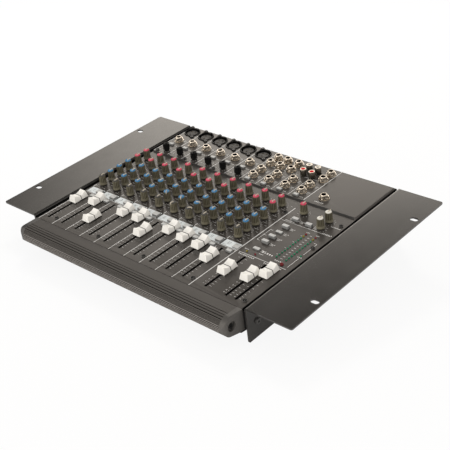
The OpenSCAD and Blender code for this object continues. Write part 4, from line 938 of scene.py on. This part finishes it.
def make_gap_shade():
    """Painted shade: black strips in the gaps between the body's sides and the rack ears' flanges, along the
    panel's side edges and over the ears' bends.
    """
    form = Form()
    low, high = solids("top_panel")[0]
    front, rear = low[1] + 0.3, high[1] - 0.3
    for side, ear, turns in ((low[0], solids("left_rack_ear")[0][1][0], range(68, 91, 11)),
                             (high[0], solids("right_rack_ear")[0][0][0], range(35, 91, 11))):
        out = copysign(1, side)
        for x0, x1, z0, z1 in ((side, ear, -3.6, -1.7), (ear - out * 0.1, ear, -3.6, -0.1),
                               (side, side + out * 0.1, -3.6, -0.02),
                               (side - out * 1.2, side + out * 0.1, -0.02, 0.03)):
            form.block((min(x0, x1), front, PANEL_Z + z0), (max(x0, x1), rear, PANEL_Z + z1))
        # Painted shade over the ear's bend next to the gap
        bend = [(ear + out * (3 - r * sin(radians(t))), r * cos(radians(t)) - 3)
                for r, way in ((3.04, 1), (2.9, -1)) for t in turns[::way]]
        form.loft([[(x, y, z) for x, z in bend] for y in (front, rear)])
    make("gap_shade", form, PAINTED_SHADE)
    # Painted shade on the raised jack panel's front slope, in the pan's black paint
    slope_shade = Form()
    ring = [(STEP_Y - 0.35, PANEL_Z + 0.03), (STEP_Y + 0.02, PANEL_Z + 0.06), (STEP_Y + 1.35, JACK_Z - 0.12),
            (STEP_Y + 1.4, JACK_Z - 0.2), (STEP_Y, PANEL_Z)]
    slope_shade.loft([[(x, y, z) for y, z in ring] for x in (low[0] + 3.0, high[0] - 3.0)])
    make("step_slope_shade", slope_shade, PAN_PAINT)


def make_recess_glints():
    """Painted shade on the panel screws' heads round their recesses, and painted glints: bright steel floors in the
    recesses.
    """
    form, rings = Form(), Form()
    for b in solids("panel_fasteners"):
        c, r, _, top = measure(b)
        surface = JACK_Z if c[1] > STEP_Y else PANEL_Z
        if surface + 1.6 > top > surface + 0.5 and 2 * r > 4.6:
            # Painted glint: a bright steel floor in the recess
            form.turned(c, 16, [(q, top - 0.9 + z) for q, z in ((0.75, 0), (0.7, 0.25), (0.3, 0.3))])
            # Painted shade: a dark ring on the head round the recess
            rings.turned_tube(c, 24, [(q, top + z) for q, z in (
                (r - 0.25, -0.1), (r - 0.35, 0.01), (r * 0.5, 0.01), (r * 0.5, -0.1))])
    make("screw_recess_glints", form, STEEL)
    make("screw_rim_shade", rings, PAINTED_SHADE)


def print_jack_panel():
    ink = Ink(JACK_Z)
    rear = max(place(MOUNTS["microphone_input_1"]).y, 0) + 16.5
    for x in CHANNEL_X[:7]:
        ink.bar(x - LINE_LEFT - 0.35, STEP_Y + 2.6, x - LINE_LEFT + 0.35, rear)
    for x in CHANNEL_X[7:]:
        ink.bar(x - LINE_LEFT - 0.3, STEP_Y + 2.6, x - LINE_LEFT + 0.3, STEP_Y + 46.5)
    thick = CHANNEL_X[-1] + 16.2
    ink.bar(thick - 0.45, STEP_Y + 2.8, thick + 0.45, rear)
    ink.bar(CHANNEL_X[6] - 8.2, STEP_Y + 48.8, thick - 0.8, STEP_Y + 49.2)
    for i, x in enumerate(CHANNEL_X[:6]):
        ink.captions(x, STEP_Y, ((9.4, 42.5, 5.6, 1.6), (9.4, 44.8, 4.6, 1.4), (-6.8, 8.4, 5.4, 1.5),
                                 (-6.8, 3.0, 4.2, 1.3), (6.6, 26.4, 6.2, 1.5)))
        ink.number(str(i + 1), x + 4.4, rear - 3.8, 3.0)
        ink.caption(x - 4.4, rear - 3.2, 6.4, 1.8)
        knob_scale(ink, (x + 6.7, STEP_Y + 12), 6.4)
    for x in CHANNEL_X[6:]:
        for dy in (17.8, 34.4):
            ink.captions(x, STEP_Y + dy, ((9.2, 1.2, 5.2, 1.5), (9.2, -1.6, 4.0, 1.4)))
        ink.caption(x + 7.0, STEP_Y + 6.2, 5.4, 1.5)
    for m in MOUNTS.values():
        if m["name"].startswith("output_jack"):
            p = place(m)
            ink.caption(p.x - 3.8, p.y + 7.2, 7.6, 1.3)
    phones = place(MOUNTS["headphone_jack"])
    ink.caption(phones.x - 6.5, phones.y - 11.4, 13.5, 2.2)
    make("jack_panel_print", ink, PRINT)


ink, strip, marks, SLOT_TOP, LAST = print_control_panel()
print_master_section(ink, SLOT_TOP, LAST)
make("control_panel_print", ink, PRINT)
make("writing_strips", strip, STRIP)
make("strip_marks", marks, STRIP_INK)
print_jack_panel()
make_rail_shade_and_highlights()
make_gap_shade()
make_recess_glints()


# ---- CAD nodes that keep their shape ----

# Node, finish, width of its soft edges and, where they aren't the usual ones, their angle and segments
for node, finish, edge, *shape in (
        ("top_panel", PAINT, 0.25, 70, 2), ("bottom_pan", PAN_PAINT, 0.3, 60, 2), ("front_rail", RAIL, 0.12, 60, 2),
        # Both end caps are one plastic: the left one's darker black-steel finish is painted shade
        ("left_end_cap", BLACK_STEEL, 0.8), ("right_end_cap", CAP_PLASTIC, 0.8),
        ("left_rack_ear", EAR_SHEEN_PAINTS[0], 0.3, 60, 2), ("right_rack_ear", EAR_SHEEN_PAINTS[1], 0.3, 60, 2),
        ("ear_screws", BLACK_STEEL, 0.35), ("panel_fasteners", BLACK_STEEL, 0.3), ("end_cap_screws", BLACK, 0.3),
        ("rubber_feet", RUBBER, 0.8), ("main_circuit_board", BOARD, 0), ("jack_circuit_board", BOARD, 0),
        ("power_supply_board", BOARD, 0), ("transformer", WINDING, 2.5, 60, 4), ("ribbon_cable", RIBBON, 0),
        ("pot_bodies", BLACK, 0.3, 50), ("fader_bodies", BLACK, 0.2, 50), ("switch_bodies", BLACK, 0.5, 50),
        ("main_output_sockets", CHARCOAL, 0.4), ("power_inlet", CHARCOAL, 0.6), ("power_switch", BLACK, 0.5, 50),
        ("phantom_switch", BLACK, 0.5, 50)):
    dress(node, finish, edge, *shape)


# ---- Floor, light and camera ----

# (sine of the elevation or part of the direction on X, strength) at each end of a change of light
SOFT_LIGHT = ((-0.1, 1.25), (0.9, 0.7))
GLOSS_LIGHT = ((0.48, 3.0), (0.67, 0.0))
GLOSS_LOW = ((0.1, 0.7), (0.46, 1.0))
GLOSS_LEFT = ((-0.785, 0.04), (-0.69, 1.0))
GLOSS_RIGHT = ((-0.35, 1.0), (0.2, 0.3))
FLOOR_GLOW = 0.9
FLOOR_HALF = 6.0


def world_light():
    """A bright low horizon under a dimmer ceiling, and a plain white room for the camera."""
    world = bpy.data.worlds.new("room")
    bpy.context.scene.world = world
    world.use_nodes = True
    tree = world.node_tree
    tree.nodes.clear()
    direction = add_node(tree, "TexCoord", {}, "Generated")
    path = tree.nodes.new("ShaderNodeLightPath").outputs

    def along(axis, low, high):
        """Strength that changes with one axis of the direction, between two (place, strength) pairs."""
        return add_node(tree, "MapRange", {
            "From Min": low[0], "From Max": high[0], "To Min": low[1], "To Max": high[1],
            "Value": add_node(tree, "SeparateXYZ", {0: direction}, axis)},
            "Result", interpolation_type="SMOOTHSTEP" if axis == "Z" else "LINEAR")

    def times(a, b):
        return add_node(tree, "Math", {0: a, 1: b}, operation="MULTIPLY")

    def background(strength, colour=(1, 1, 1, 1)):
        return add_node(tree, "Background", {"Color": colour, "Strength": strength})

    def choose(ray, low, high):
        return add_node(tree, "MixShader", {"Fac": path[ray], 1: low, 2: high})

    soft = background(along("Z", *SOFT_LIGHT), (1.0, 0.975, 0.945, 1))
    sheen = times(times(along("Z", *GLOSS_LIGHT), along("Z", *GLOSS_LOW)),
                  times(along("X", *GLOSS_LEFT), along("X", *GLOSS_RIGHT)))
    glossy = choose("Is Glossy Ray", soft, background(sheen, (1.0, 0.93, 0.84, 1)))
    seen = choose("Is Camera Ray", glossy, background(1.0))
    surface = choose("Is Transmission Ray", seen, background(1.0))
    feed(tree, tree.nodes.new("ShaderNodeOutputWorld"), {"Surface": surface})


def area_light(name, direction, distance, size, energy, colour=(1, 1, 1)):
    data = bpy.data.lights.new(name, "AREA")
    data.shape = "RECTANGLE"
    data.size, data.size_y = size
    data.energy = energy
    data.color = colour
    lamp = add_object(name, data)
    towards = Vector(direction).normalized()
    lamp.location = towards * distance
    lamp.rotation_euler = towards.to_track_quat("Z", "Y").to_euler()
    lamp.visible_glossy = False


def floor():
    """A pale floor that stays near white to the camera and keeps the shadow."""
    mat = bpy.data.materials.new("floor_paper")
    mat.use_nodes = True
    tree = mat.node_tree
    paper = tree.nodes["Principled BSDF"]
    feed(tree, paper, {"Base Color": (0.9, 0.893, 0.885, 1), "Roughness": 0.9, "Specular IOR Level": 0.1})
    seen = add_node(tree, "LightPath", {}, "Is Camera Ray")
    share = add_node(tree, "Math", {0: seen, 1: FLOOR_GLOW}, operation="MULTIPLY")
    both = add_node(tree, "MixShader", {"Fac": share, 1: paper.outputs[0], 2: add_node(tree, "Emission", {})})
    feed(tree, tree.nodes["Material Output"], {"Surface": both})
    mesh = bpy.data.meshes.new("studio_floor")
    s = FLOOR_HALF
    mesh.from_pydata([(-s, -s, 0), (s, -s, 0), (s, s, 0), (-s, s, 0)], [], [(0, 1, 2, 3)])
    mesh.materials.append(mat)
    add_object("studio_floor", mesh)


world_light()
area_light("key", (-0.75, 0.75, 1.25), 2.2, (0.5, 0.5), 16, (1.0, 0.98, 0.95))
area_light("front_fill", (0.2, -1.0, 0.1), 2.5, (1.5, 0.5), 26, (1.0, 0.98, 0.95))
floor()

# The camera looks from the front right. Its place in millimetres and its turns in degrees are those in
# the panel frame.
LENS = 75
SENSOR = 36
EYE = Vector((736.95, -703.96, 589.81)) * MM
EYE_TURNS = (58.23084, 6.25632, 41.81272)
camera = add_object("camera", bpy.data.cameras.new("camera"))
camera.data.lens = LENS
camera.data.sensor_width = SENSOR
turn = Euler([radians(t) for t in EYE_TURNS]).to_matrix().to_4x4()
camera.matrix_world = PANEL @ Matrix.Translation(EYE) @ turn
bpy.context.scene.camera = camera
bpy.context.scene.view_settings.view_transform = "Standard"
